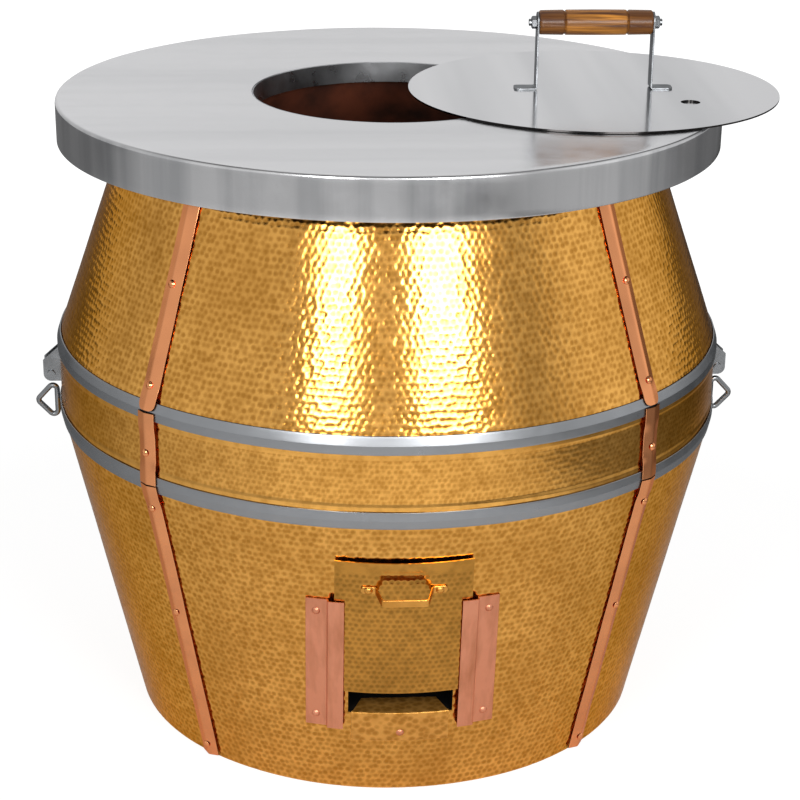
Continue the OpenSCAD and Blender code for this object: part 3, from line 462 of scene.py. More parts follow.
def make_piece(name, parts, finish, body, replaced=(), hollow=None, crease=35):
    """One object from closed surfaces, each (points, quads, caps). Faces are turned to point outwards.
    hollow is the depth in the dents at each point, for the finish. Edges sharper than crease stay sharp."""
    all_points, corners, totals, first = [], [], [], 0
    for points, quads, caps in parts:
        points = points.reshape(-1, 3)
        inside_out = volume_of(points, quads, caps) < 0
        for group in [quads] + [np.array([cap]) for cap in caps]:
            group = group[:, ::-1] if inside_out else group
            corners.append(group.ravel() + first)
            totals.append(np.full(len(group), group.shape[1]))
        all_points.append(points)
        first += len(points)
    points, corners, totals = np.concatenate(all_points), np.concatenate(corners), np.concatenate(totals)
    mesh = bpy.data.meshes.new(name)
    mesh.vertices.add(len(points))
    mesh.vertices.foreach_set("co", points.astype(np.float32).ravel())
    mesh.loops.add(len(corners))
    mesh.loops.foreach_set("vertex_index", corners.astype(np.int32))
    mesh.polygons.add(len(totals))
    mesh.polygons.foreach_set("loop_start", (np.cumsum(totals) - totals).astype(np.int32))
    mesh.polygons.foreach_set("use_smooth", np.ones(len(totals), bool))
    mesh.update(calc_edges=True)
    if mesh.validate():
        raise RuntimeError(f"the mesh of {name} had faces that can't be")
    mesh.set_sharp_from_angle(angle=math.radians(crease))
    if hollow is not None:
        values = mesh.attributes.new("hollow", "FLOAT", "POINT").data
        values.foreach_set("value", hollow.astype(np.float32).ravel())
    piece = bpy.data.objects.new(name, mesh)
    bpy.context.scene.collection.objects.link(piece)
    mesh.materials.append(finish)
    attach(piece, body)
    if replaced:
        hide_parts(*replaced)
    return piece


# ---------------------------------------------------------------- finishes

def new_finish(name, base, metallic, roughness):
    """A plain material and its shader. The base is a colour, and a metal keeps most of it at a grazing
    angle."""
    material = bpy.data.materials.new(name)
    material.use_nodes = True
    shader = material.node_tree.nodes["Principled BSDF"]
    shader.inputs["Base Color"].default_value = (*base, 1)
    shader.inputs["Metallic"].default_value = metallic
    if metallic:
        shader.inputs["Specular Tint"].default_value = (*(0.35 + 0.65 * part for part in base), 1)
    shader.inputs["Roughness"].default_value = roughness
    return material, material.node_tree, shader


def grain(tree, size, stretch=(1, 1, 1), detail=3.0, distortion=0.0):
    """A noise of about the given size, read from Object coordinates. stretch squeezes it along an axis."""
    coordinates = tree.nodes.new("ShaderNodeTexCoord")
    mapping = tree.nodes.new("ShaderNodeMapping")
    mapping.inputs["Scale"].default_value = stretch
    noise = tree.nodes.new("ShaderNodeTexNoise")
    noise.inputs["Scale"].default_value = 1 / size
    noise.inputs["Detail"].default_value = detail
    noise.inputs["Distortion"].default_value = distortion
    tree.links.new(coordinates.outputs["Object"], mapping.inputs["Vector"])
    tree.links.new(mapping.outputs["Vector"], noise.inputs["Vector"])
    return noise.outputs["Fac"]


def spread(tree, value, low_in, high_in, low_out=0.0, high_out=1.0):
    """A value moved from one range to another, and kept inside it."""
    node = tree.nodes.new("ShaderNodeMapRange")
    limits = {"From Min": low_in, "From Max": high_in, "To Min": low_out, "To Max": high_out}
    for socket, number in limits.items():
        node.inputs[socket].default_value = number
    tree.links.new(value, node.inputs["Value"])
    return node.outputs["Result"]


def math_node(tree, operation, first, second):
    """The result of an operation on two values, each a link or a number."""
    node = tree.nodes.new("ShaderNodeMath")
    node.operation = operation
    for socket, value in zip(node.inputs, (first, second)):
        if isinstance(value, bpy.types.NodeSocket):
            tree.links.new(value, socket)
        else:
            socket.default_value = value
    return node.outputs["Value"]


def new_nodes(tree, kind, count):
    """Several nodes of one kind."""
    return [tree.nodes.new(kind) for _ in range(count)]


def object_parts(tree):
    """X, Y and Z of the Object coordinates, and the coordinates themselves."""
    coordinates = tree.nodes.new("ShaderNodeTexCoord").outputs["Object"]
    parts = tree.nodes.new("ShaderNodeSeparateXYZ")
    tree.links.new(coordinates, parts.inputs["Vector"])
    return parts.outputs["X"], parts.outputs["Y"], parts.outputs["Z"], coordinates


def facing_sideways(tree):
    """1 where a face looks sideways and 0 where it looks up or down: a step on the square of its normal's
    height."""
    geometry, parts = tree.nodes.new("ShaderNodeNewGeometry"), tree.nodes.new("ShaderNodeSeparateXYZ")
    tree.links.new(geometry.outputs["True Normal"], parts.inputs["Vector"])
    return spread(tree, math_node(tree, "MULTIPLY", parts.outputs["Z"], parts.outputs["Z"]), 0.2, 0.7, 1.0, 0.0)


def painted(material):
    """A finish's tree, its shader, and the links that reach its colour and its roughness."""
    shader = material.node_tree.nodes["Principled BSDF"]
    face, rough = (shader.inputs[name].links[0].from_socket for name in ("Base Color", "Roughness"))
    return material.node_tree, shader, face, rough


def blend_colours(tree, share, first, second):
    """A colour between two, by a share. Either may be a fixed colour or a link."""
    node = tree.nodes.new("ShaderNodeMix")
    node.data_type = "RGBA"
    colour_a, colour_b, colour_out = node.inputs[6], node.inputs[7], node.outputs[2]
    tree.links.new(share, node.inputs["Factor"])
    for socket, value in ((colour_a, first), (colour_b, second)):
        if isinstance(value, bpy.types.NodeSocket):
            tree.links.new(value, socket)
        else:
            socket.default_value = (*value, 1)
    return colour_out


def roughen(tree, shader, height, depth, strength=1.0):
    """Small relief, from a height, that turns the surface's normal."""
    node = tree.nodes.new("ShaderNodeBump")
    node.inputs["Strength"].default_value = strength
    node.inputs["Distance"].default_value = depth
    tree.links.new(height, node.inputs["Height"])
    tree.links.new(node.outputs["Normal"], shader.inputs["Normal"])


def hollow_share(tree):
    """The depth in the dents, from the mesh."""
    node = tree.nodes.new("ShaderNodeAttribute")
    node.attribute_name = "hollow"
    return node.outputs["Fac"]


def hammered_brass(name, bright, dark, darkest):
    """Brass whose dents are darker towards their bottoms, with blotches, faint patches and fine scratches."""
    material, tree, shader = new_finish(name, bright, 1.0, 0.2)
    dents = spread(tree, hollow_share(tree), 0.1, 0.75, 0.0, darkest)
    webs = blend_colours(tree, dents, bright, dark)
    cloudy = spread(tree, grain(tree, 0.011, detail=4.0), 0.42, 0.72, 0.0, 0.45)
    blotches = blend_colours(tree, cloudy, webs, dark)
    patches = spread(tree, grain(tree, 0.08), 0.38, 0.7, 0.0, 0.35)
    tree.links.new(blend_colours(tree, patches, blotches, dark), shader.inputs["Base Color"])
    tree.links.new(spread(tree, grain(tree, 0.03), 0.3, 0.7, 0.10, 0.19), shader.inputs["Roughness"])
    roughen(tree, shader, grain(tree, 0.0014, detail=2.0), 0.05 * MM, 0.35)
    return material


def beaten_plate(name, bright, dark):
    """Thin brass whose small dents are drawn in the finish alone: cells about as wide as a hammer blow,
    darker at their middles and sunk there."""
    material, tree, shader = new_finish(name, bright, 0.6, 0.3)
    coordinates = tree.nodes.new("ShaderNodeTexCoord")
    cells = tree.nodes.new("ShaderNodeTexVoronoi")
    cells.inputs["Scale"].default_value = 1 / sizes().cone_pitch
    tree.links.new(coordinates.outputs["Object"], cells.inputs["Vector"])
    away = cells.outputs["Distance"]
    webs = blend_colours(tree, spread(tree, away, 0.3, 0.7, 0.8, 0.0), bright, dark)
    patches = spread(tree, grain(tree, 0.02, detail=4.0), 0.45, 0.75, 0.0, 0.4)
    tree.links.new(blend_colours(tree, patches, webs, dark), shader.inputs["Base Color"])
    roughen(tree, shader, away, 0.6 * MM, 0.6)
    return material


def rolled_metal(name, bright, dull, rough, size=0.05, stretch=(1, 1, 1), fine=0.0012, depth=0.03, amount=0.6):
    """Rolled sheet or bar: patches of a duller colour, a roughness that changes slowly, and a fine relief
    that stretch turns into brush marks."""
    material, tree, shader = new_finish(name, bright, 1.0, rough)
    patches = spread(tree, grain(tree, size, stretch), 0.4, 0.75, 0.0, amount)
    tree.links.new(blend_colours(tree, patches, bright, dull), shader.inputs["Base Color"])
    uneven = spread(tree, grain(tree, size / 2), 0.3, 0.7, rough * 0.85, rough * 1.2)
    tree.links.new(uneven, shader.inputs["Roughness"])
    roughen(tree, shader, grain(tree, fine, stretch, detail=2.0), depth * MM, 0.5)
    return material


def rolled_with_painted_edge_shade(name, bright, dull, **marks):
    """Rolled sheet whose cut edges, which face sideways, are painted dark in the iron colour: a painted shadow
    line along the rim.
    """
    material = rolled_metal(name, bright, dull, 0.13, **marks)
    tree, shader, face, _ = painted(material)
    # Painted shade: faces that look sideways take the iron colour.
    edge_with_painted_shade = blend_colours(tree, facing_sideways(tree), face, colours().iron)
    tree.links.new(edge_with_painted_shade, shader.inputs["Base Color"])
    return material


def copper_strip():
    """Polished copper strip laid on the barrel. Its cut edges, whose faces look along the brass and not
    away from the barrel's axis, are painted dark and made rougher: painted shade along each edge."""
    c = colours()
    material = rolled_metal("copper_strip", c.copper, c.copper_tarnish, 0.16, amount=0.35)
    tree, shader, face, smooth = painted(material)
    coordinates, geometry = tree.nodes.new("ShaderNodeTexCoord"), tree.nodes.new("ShaderNodeNewGeometry")
    level, unit, facing = new_nodes(tree, "ShaderNodeVectorMath", 3)
    level.operation, unit.operation, facing.operation = "MULTIPLY", "NORMALIZE", "DOT_PRODUCT"
    level.inputs[1].default_value = (1, 1, 0)
    tree.links.new(coordinates.outputs["Object"], level.inputs[0])
    tree.links.new(level.outputs["Vector"], unit.inputs[0])
    tree.links.new(unit.outputs["Vector"], facing.inputs[0])
    tree.links.new(geometry.outputs["True Normal"], facing.inputs[1])
    # Painted shade: the strip's side faces get a dark colour and more roughness.
    edge = spread(tree, math_node(tree, "ABSOLUTE", facing.outputs["Value"], 0.0), 0.3, 0.6, 1.0, 0.0)
    tree.links.new(blend_colours(tree, edge, face, c.copper_edge_painted_shade), shader.inputs["Base Color"])
    tree.links.new(math_node(tree, "MAXIMUM", smooth, math_node(tree, "MULTIPLY", edge, 0.7)),
                   shader.inputs["Roughness"])
    return material


def worktop_steel():
    """Brushed sheet, with upright streaks on the skirt alone and faint streaks across the top."""
    c = colours()
    material = rolled_metal("steel_top", c.steel, c.hoop_steel, 0.2, size=0.06, stretch=(0.05, 1, 0.05),
                            depth=0.02, amount=0.2)
    tree, shader, face, _ = painted(material)
    streaks = spread(tree, grain(tree, 0.035, (1, 1, 0.04), detail=4.0), 0.42, 0.66, 0.0, 0.5)
    share = math_node(tree, "MULTIPLY", streaks, facing_sideways(tree))
    streaked = blend_colours(tree, share, face, c.hoop_steel)
    tree.links.new(streaked, shader.inputs["Base Color"])
    return material


def earthen(name, light, dark, rough, size, relief):
    """Clay, brick, wool or rope: blotches of two colours and a coarse relief."""
    material, tree, shader = new_finish(name, light, 0.0, rough)
    shader.inputs["Specular IOR Level"].default_value = 0.1
    blotches = spread(tree, grain(tree, size, detail=6.0), 0.35, 0.7)
    tree.links.new(blend_colours(tree, blotches, light, dark), shader.inputs["Base Color"])
    roughen(tree, shader, grain(tree, size / 8, detail=6.0), relief * MM, 0.8)
    return material


def varnished_wood():
    """Turned wood: rings of grain stretched along the grip, darker towards its ends, under clear varnish."""
    c = colours()
    material, tree, shader = new_finish("varnished_wood", c.wood_light, 0.0, 0.4)
    lines = spread(tree, grain(tree, 0.006, (0.06, 1, 1), detail=5.0, distortion=0.6), 0.35, 0.65)
    fine = spread(tree, grain(tree, 0.0015, (0.04, 1, 1), detail=2.0), 0.4, 0.7, 0.0, 0.5)
    wood = blend_colours(tree, fine, blend_colours(tree, lines, c.wood_light, c.wood_dark), c.wood_dark)
    away = math_node(tree, "ABSOLUTE", math_node(tree, "SUBTRACT", object_parts(tree)[0], GRIP.x), 0.0)
    ends = spread(tree, away, 33 * MM, 37 * MM, 0.0, 0.7)
    tree.links.new(blend_colours(tree, ends, wood, c.wood_dark), shader.inputs["Base Color"])
    shader.inputs["Specular IOR Level"].default_value = 0.25
    shader.inputs["Coat Weight"].default_value = 0.15
    shader.inputs["Coat Roughness"].default_value = 0.12
    roughen(tree, shader, grain(tree, 0.002, (0.05, 1, 1), detail=2.0), 0.05 * MM, 0.5)
    return material


def finishes():
    """Every finish by name, made once."""
    if "brass_cone" not in bpy.data.materials:
        c = colours()
        hammered_brass("brass_cone", c.brass, c.brass_hollow, 0.7)
        hammered_brass("brass_belt", c.brass, c.brass_hollow, 0.6)
        hammered_brass("brass_door", c.door_brass, c.door_hollow, 0.6)
        beaten_plate("brass_sill", c.sill_brass, c.brass_hollow)
        rolled_metal("brass_handle", c.sill_brass, c.brass_hollow, 0.3)
        rolled_metal("copper_strap", c.copper, c.copper_tarnish, 0.16, amount=0.35)
        copper_strip()
        rolled_metal("copper_rail", c.rail_copper, c.copper_tarnish, 0.38, size=0.012, stretch=(1, 1, 0.06),
                     amount=0.7)
        rolled_with_painted_edge_shade("steel_lid", c.steel, c.hoop_steel, size=0.12, stretch=(1, 0.05, 1), depth=0.01, amount=0.7)
        worktop_steel()
        rolled_metal("steel_hoop", c.hoop_steel, c.bright_steel, 0.32, size=0.04)
        rolled_metal("steel_collar", c.collar_steel, c.iron, 0.3, size=0.04)
        rolled_metal("steel_bright", c.bright_steel, c.iron, 0.27, size=0.03, amount=0.4)
        rolled_metal("steel_bracket", c.bright_steel, c.iron, 0.42, size=0.03, amount=0.4)
        rolled_metal("iron_black", c.iron, c.iron_worn, 0.6)
        earthen("pot_clay", c.clay, c.soot, 0.9, 0.05, 0.6)
        earthen("hearth_brick", c.brick, c.clay, 0.9, 0.03, 0.4)
        earthen("pale_wool", c.wool, c.brick, 1.0, 0.02, 1.0)
        varnished_wood()
    return bpy.data.materials


# ---------------------------------------------------------------- barrel

def strap_turns():
    """Turns of the four straps: front right, back right, back left, front left."""
    t = sizes().strap_turn
    return [t, math.pi - t, math.pi + t, 2 * math.pi - t]


def hammered_panel(name, stretch, first, last, finish, replaced, pitch, depth, seed, lip=0.0, opening=None):
    """A quarter of one stretch of the barrel, from one strap to the next. Its front is the barrel's
    surface, less the hammer blows, less the long waves, less the sink between the belt's lips. Its back
    is plain. opening is (half width, lower height, upper height) of the ash opening, whose sides the
    columns of the grid follow: their turn is the arc sine of the half width over the radius."""
    s = sizes()
    slant = wall_normal(stretch)[2]
    bottom, top = stretch
    wide = float(wall_radius((bottom + top) / 2)) * (last - first)
    window = None
    if opening:
        half, sill, lintel = opening
        levels = [bottom, sill, lintel, top]
        counts = [math.ceil((b - a) / s.mesh_step) for a, b in zip(levels[:-1], levels[1:])]
        heights = np.concatenate([np.linspace(a, b, n, endpoint=False)
                                  for a, b, n in zip(levels[:-1], levels[1:], counts)] + [[top]])[:, None]
        edge = np.arcsin(half / wall_radius(heights))
        in_window, beside = math.ceil(2 * half / s.mesh_step), math.ceil((wide / 2 - half) / s.mesh_step)
        share, window_share = np.linspace(0, 1, beside + 1), np.linspace(-1, 1, in_window + 1)[1:-1]
        turn = np.concatenate([first + share * (-edge - first), window_share * edge,
                               edge + share * (last - edge)], 1)
        window = (counts[0], counts[0] + counts[1], beside, beside + in_window)
    else:
        heights = np.linspace(bottom, top, math.ceil(slant / s.mesh_step) + 1)[:, None]
        turn = np.linspace(first, last, math.ceil(wide / s.mesh_step) + 1) + 0 * heights
    along = (heights - bottom) / (top - bottom) * slant + 0 * turn
    bowl = blows(turn / (2 * math.pi) % 1, along,
                 lambda d: 2 * math.pi * wall_radius(bottom + d / slant * (top - bottom)), pitch, seed)
    field = ease((np.minimum(along, slant - along) - s.hoop_half - lip) / (1.6 * MM)) if lip else 1.0
    smooth = wall_points(turn, heights, 0 * turn, stretch)
    sunk = depth * bowl + (s.belt_sink if lip else 0)
    out = -s.unevenness * (0.5 - 0.5 * waves(smooth, 0.11, 5)) - field * sunk
    front = wall_points(turn, heights, out, stretch)
    kept = kept_rows(len(heights), 24, window[:2] if window else ())
    back = wall_points(turn[kept], heights[kept], 0 * turn[kept] - s.sheet, stretch)
    hollow = np.concatenate([(bowl * field).ravel(), np.zeros(len(kept) * turn.shape[1])])
    return make_piece(name, [plate(front, back, kept, window)], finish, "oven", replaced,
                      hollow)


def build_barrel():
    """Twelve hammered panels: a front, right, back and left one for each stretch of the barrel."""
    s, f = sizes(), finishes()
    right, back_right, back_left, left = strap_turns()
    spans = {"front": (left - 2 * math.pi, right), "right": (right, back_right),
             "back": (back_right, back_left), "left": (back_left, left)}
    beside_sill, duct_lip = 4 * MM, 2 * MM
    opening = (high("ash_sill").x + beside_sill, low("ash_duct").z + duct_lip, high("ash_duct").z - duct_lip)
    for side, (first, last) in spans.items():
        hammered_panel(f"lower_panel_{side}", LOWER, first, last, f["brass_cone"], ["lower_shell"],
                       s.cone_pitch, s.cone_depth, 11, opening=opening if side == "front" else None)
        hammered_panel(f"belt_panel_{side}", BELT, first, last, f["brass_belt"], ["belt"], s.belt_pitch,
                       s.belt_depth, 12, lip=s.belt_lip)
        hammered_panel(f"upper_panel_{side}", UPPER, first, last, f["brass_cone"], ["upper_shell"],
                       s.cone_pitch, s.cone_depth, 13)


def build_hoops():
    """Each hoop is a folded strip turned round the barrel: one half lies on the belt and the other on the
    cone. Its radius wanders inwards in slow waves."""
    s = sizes()
    near, far = s.fit, s.fit + s.sheet
    corners = np.array([0.3, 0.6, 1.2, 0.6, 0.3, 0.3]) * MM
    for name, fold, side, stretch, seed in (("lower_hoop", BELT_LOW, 1, LOWER, 21),
                                            ("upper_hoop", BELT_HIGH, -1, UPPER, 22)):
        level = wall_normal(stretch)[0]
        flat, cone = fold + side * s.hoop_half, fold - side * s.hoop_half
        base = float(wall_radius(cone))
        outline = rounded([(BELT_R + near, flat), (BELT_R + far, flat), (BELT_R + far, fold),
                           (base + far / level, cone), (base + near / level, cone), (BELT_R + near, fold)],
                          corners)

        def wander(turn, radius, height, seed=seed):
            """The hoop's radius and height, with slow waves added to each."""
            return (radius + s.hoop_waves * (waves_round(turn, radius, height, 0.06, seed) - 1),
                    height + 0.2 * MM * waves_round(turn, radius, height, 0.09, seed + 5))

        make_piece(name + "_band", [turned(split(outline, 3 * MM, True), 480, shape=wander)],
                   finishes()["steel_hoop"], "oven", [name])


def build_straps():
    """Each strap is a strip folded along its middle and carried up the barrel. Its height above the brass
    falls from the fold to the edges in a straight line, further down beyond the hoops, and the tip of an
    upper strap narrows in an arc."""
    s = sizes()
    behind_skirt, foot_gap, joint_gap, fold_gap = 22 * MM, 2 * MM, 0.4 * MM, 1 * MM
    ranges = {"upper_strap": (BELT_HIGH + s.fit, SKIRT_Z + behind_skirt, UPPER),
              "belt_strap": (BELT_LOW + joint_gap, BELT_HIGH - fold_gap, BELT),
              "lower_strap": (foot_gap, BELT_LOW - joint_gap, LOWER)}
    half, t, e = s.strap_width / 2, s.strap_thickness, 0.3 * MM
    share = np.concatenate([np.linspace(-1, 1, 13), [1, 1], np.linspace(1, -1, 7), [-1, -1]])
    inset = np.array([e] * 13 + [0, 0] + [e] * 7 + [0, 0])
    level = np.array([t] * 13 + [t - e, e] + [0] * 7 + [e, t - e])
    for kind, (bottom, top, stretch) in ranges.items():
        slant = wall_normal(stretch)[2] * (top - bottom) / (stretch[1] - stretch[0])
        tip = s.strap_tip * np.array([0, 0.02, 0.06, 0.14, 0.28, 0.5, 0.75])
        places = np.concatenate([tip, np.linspace(s.strap_tip, slant, math.ceil(slant / (4 * MM)))])[:, None]
        width = np.full(places.shape, half)
        if kind == "upper_strap":
            rise = np.clip(1 - places / s.strap_tip, 0, 1)
            width = half * (0.42 + 0.58 * np.sqrt(1 - rise ** 2))
        heights = bottom + places / slant * (top - bottom)
        from_hoop = {"upper_strap": places, "belt_strap": np.minimum(places, slant - places),
                     "lower_strap": slant - places}[kind]
        drop = s.strap_drop * ease((from_hoop - 14 * MM) / (16 * MM))
        for i, turn in enumerate(strap_turns()):
            across = share * (width - inset)
            fold = np.sqrt(across ** 2 + (0.5 * MM) ** 2) - 0.5 * MM
            base = wall_points(turn + 0 * across, heights + 0 * across, 0 * across, stretch)
            seed = 30 + 7 * i + len(kind)
            out = s.strap_lift + s.strap_ridge - (s.strap_ridge + drop) * fold / half + level
            out += 0.2 * MM * waves(base, 0.05, seed)
            across = across + 0.15 * MM * waves(base, 0.07, seed + 1)
            sideways = np.array([math.cos(turn), math.sin(turn), 0])
            points = wall_points(turn + 0 * across, heights + 0 * across, out, stretch)
            points = points + across[..., None] * sideways
            make_piece(f"{kind}_{i + 1}_strip", [swept(points)], finishes()["copper_strip"], "oven",
                       [f"{kind}_{i + 1}"], crease=30)


# ---------------------------------------------------------------- worktop, mouth and pot

def build_worktop():
    """The worktop's sheet turned round the barrel's axis, from the mouth's edge over the rounded rim and
    down the skirt to the lip turned in under it. The top and the skirt each have slow waves."""
    s = sizes()
    r, t = s.worktop_round, s.sheet
    outline = rounded([(MOUTH_EDGE_R, TOP_Z - t), (MOUTH_EDGE_R, TOP_Z), (WORKTOP_R, TOP_Z),
                       (WORKTOP_R, SKIRT_Z), (WORKTOP_R - s.skirt_lip, SKIRT_Z),
                       (WORKTOP_R - s.skirt_lip, SKIRT_Z + t),
                       (WORKTOP_R - t, SKIRT_Z + t), (WORKTOP_R - t, TOP_Z - t)],
                      [0.3 * MM, 0.4 * MM, r, 1.2 * MM, 0.3 * MM, 0.3 * MM, 0.3 * MM, r - t], steps=6)

    def wavy(turn, radius, height):
        """The radius less the skirt's waves, and the height less the top's waves."""
        on_top = ease((radius - MOUTH_EDGE_R) / (30 * MM)) * ease((height - SKIRT_Z) / (TOP_Z - SKIRT_Z))
        on_skirt = ease((radius / WORKTOP_R - 0.9) * 10)
        pressed_in = 0.5 - 0.5 * waves_round(turn, radius, height, 0.09, 42)
        pressed_down = 0.5 - 0.5 * waves_round(turn, radius, height, 0.19, 41)
        return radius - s.skirt_waves * pressed_in * on_skirt, height - s.top_waves * pressed_down * on_top

    sheet = turned(split(outline, 8 * MM, True), 360, shape=wavy)
    make_piece("worktop_sheet", [sheet], finishes()["steel_top"], "oven", ["worktop"])


def build_pot():
    """The pot's wall above its ash opening. Its inner radius falls off with the square of the height from
    the belly, and slow waves of the clay are added on both faces."""
    s = sizes()
    joint, rim = low("clay_pot_belly").z, high("clay_pot_shoulder").z
    points = node_points("clay_pot_shoulder")
    mouth = float(np.hypot(points[:, 0], points[:, 1]).min())
    belly = high("clay_pot_belly").x - s.pot_wall
    belly_z = joint + s.belly_rise
    curve_in, curve_fall = 47 * MM, 231 * MM
    heights = np.linspace(joint, rim, 70)
    below = belly - curve_in * ((belly_z - heights) / curve_fall) ** 2
    above = belly - (belly - mouth) * ((heights - belly_z) / (rim - belly_z)) ** 2
    inner = np.where(heights < belly_z, below, above)
    section = np.concatenate([np.stack([inner, heights], -1),
                              np.stack([inner + s.pot_wall, heights], -1)[::-1]])

    def hand_made(turn, radius, height):
        """The radius with slow waves, which fade out at the pot's two ends."""
        fade = ease((rim - height) / (20 * MM)) * ease((height - joint) / (20 * MM))
        return radius + s.pot_waves * waves_round(turn, radius, height, 0.07, 51) * fade, height

    make_piece("clay_wall", [turned(section, 256, shape=hand_made)], finishes()["pot_clay"], "oven",
               ["clay_pot_belly", "clay_pot_shoulder"], crease=50)


# ---------------------------------------------------------------- lid

def build_brackets():
    """Each bracket is a flat strip bent to an L, with a foot whose end has rounded corners and a half-round
    top: the strip's half width there is the height of a circle's arc."""
    t = sizes().bracket_sheet
    for side, name in ((-1, "lid_bracket_left"), (1, "lid_bracket_right")):
        inner, outer = sorted(abs(x - LID_X) for x in (low(name).x, high(name).x))
        half, corner, tall = high(name).y, 5 * MM, high(name).z - LID_TOP
        line = bent([(outer, t / 2), (inner + t / 2, t / 2), (inner + t / 2, tall)], 2.2 * MM)
        whole = distances(line)[-1]
        fine = 1 - np.cos(np.linspace(0, math.pi / 2, 9))
        places = np.unique(np.concatenate([corner * fine, distances(line)[1:-1],
                                           np.arange(corner, whole - half, 4 * MM), whole - half * fine]))
        foot_round = half - corner + np.sqrt(corner ** 2 - (corner - places).clip(0) ** 2)
        top_round = np.sqrt(half ** 2 - (half - (whole - places)).clip(0, half) ** 2)
        part = strip(at_places(line, places), np.minimum(foot_round, top_round), t,
                     (LID_X, 0, LID_TOP), side * X, Z, Y)
        make_piece(name.replace("lid_", "") + "_strip", [part], finishes()["steel_bracket"], "lid",
                   [name])


def build_nuts():
    """Each nut is turned round the rod, with its radius held to a hexagon: half the width across the flats
    over the cosine of the angle from the nearest flat's middle. Cones ease its corners."""
    across = sizes().nut_flats / 2
    corner = across / math.cos(math.pi / 6)
    points = node_points("grip_nuts")
    parts = []
    for side in (-1, 1):
        own = points[(points[:, 0] - LID_X) * side > 0]
        centre = (own[:, 0].min() + own[:, 0].max()) / 2
        half = (own[:, 0].max() - own[:, 0].min()) / 2
        bore = np.hypot(own[:, 1] - GRIP.y, own[:, 2] - GRIP.z).min()
        cone = np.linspace(across * 0.95, corner, 7)
        drop = (cone - cone[0]) * math.tan(math.radians(30))
        section = np.concatenate([[(bore, -half)], np.stack([cone, drop - half], -1),
                                  np.stack([cone, half - drop], -1)[::-1], [(bore, half)]])

        def hexagon(turn, radius, height):
            """The radius, held to the flats: their distance over the cosine of the turn."""
            flat = across / np.cos((turn % (math.pi / 3)) - math.pi / 6)
            return np.minimum(radius, flat), height

        parts.append(turned(section, 96, (centre, GRIP.y, GRIP.z), X, Z, Y, hexagon))
    make_piece("nut_pair", parts, finishes()["steel_bright"], "lid", ["grip_nuts"], crease=25)


def build_grip():
    """The grip is turned round the rod. Its radius falls with the square of the distance from its middle,
    less a rounded groove near each end, and its ends are eased in an arc."""
    s = sizes()
    half = (high("wooden_grip").x - low("wooden_grip").x) / 2
    widest = high("wooden_grip").z - GRIP.z
    end, end_drop, groove_width = 2.5 * MM, 2.0 * MM, 1.0 * MM
    fine = end * (1 - np.cos(np.linspace(0, math.pi / 2, 7)))
    near_groove = np.linspace(-3, 3, 25) * MM
    groove = half - s.grip_groove_in
    places = np.unique(np.concatenate([fine - half, half - fine, groove + near_groove, near_groove - groove,
                                       np.linspace(-half + 3 * MM, half - 3 * MM, 60)]))
    from_end = half - np.abs(places)
    radius = (widest - s.grip_taper * (places / half) ** 2
              - s.grip_groove * np.exp(-((np.abs(places) - groove) / groove_width) ** 2)
              - end_drop * (1 - np.sqrt(1 - (1 - from_end / end).clip(0, 1) ** 2)))
    bore = np.array([(s.grip_bore / 2, half), (s.grip_bore / 2, -half)])
    section = np.concatenate([np.stack([radius, places], -1), bore])
    make_piece("turned_grip", [turned(section, 96, tuple(GRIP), X, Z, Y)], finishes()["varnished_wood"], "grip",
               ["wooden_grip"])


# ---------------------------------------------------------------- ash door

def door_fall(x):
    """How far the door's face has fallen back at a distance from its middle line."""
    curve = sizes().door_curve + sizes().sheet
    return curve - np.sqrt(curve ** 2 - np.square(x))


def door_frame():
    """Origin and directions of the ash door's own frame: across it, up its slope and out of it. The origin
    lies on the barrel's surface at the height of the door's lower edge."""
    s = sizes()
    level, up, _ = wall_normal(LOWER)
    height = low("ash_door").z - (s.door_gap + s.sheet) * up
    origin = np.array([0, -float(wall_radius(height)), height])
    return origin, X, np.array([0, up, level]), np.array([0, -level, up])


def door_length():
    """Length of the door up its slope, from the heights of its lowest and highest corners."""
    s = sizes()
    level, up, _ = wall_normal(LOWER)
    origin = door_frame()[0]
    inner_edge = s.door_gap - s.door_curve + math.sqrt(s.door_curve ** 2 - high("ash_door").x ** 2)
    return (high("ash_door").z - origin[2] - inner_edge * up) / level


def build_door():
    """The ash door is a plate curved about a line behind it. Hammer blows cover it below a plain strip
    along its upper edge."""
    s = sizes()
    origin, across, upward, outward = door_frame()
    half, tall = high("ash_door").x, door_length()
    fade = 2 * MM
    x = np.linspace(-half, half, math.ceil(2 * half / s.door_step) + 1)
    y = np.linspace(0, tall, math.ceil(tall / s.door_step) + 1)[:, None]
    bowl = blows((x + half) / (2 * half) + 0 * y, y + 0 * x, lambda d: 2 * half + 0 * d, s.door_pitch, 61,
                 0.98, 0.1)
    field = ease((tall - s.door_plain - y) / fade) * ease(y / fade) * ease((half - np.abs(x)) / fade)
    plain = s.door_gap + s.sheet - door_fall(x)
    out = plain - s.door_depth * bowl * field - 0.25 * MM * (1 - field)
    kept = kept_rows(len(y), 12)

    def place(up, off):
        """Points of the plate, from their way up the slope and out of it."""
        return origin + x[:, None] * across + up[..., None] * upward + off[..., None] * outward

    front, back = place(y, out), place(y[kept], plain - s.sheet + 0 * y[kept])
    hollow = np.concatenate([(bowl * field).ravel(), np.zeros(len(kept) * len(x))])
    make_piece("ash_door_plate", [plate(front, back, kept)], finishes()["brass_door"], "ash_door",
               ["ash_door"], hollow)


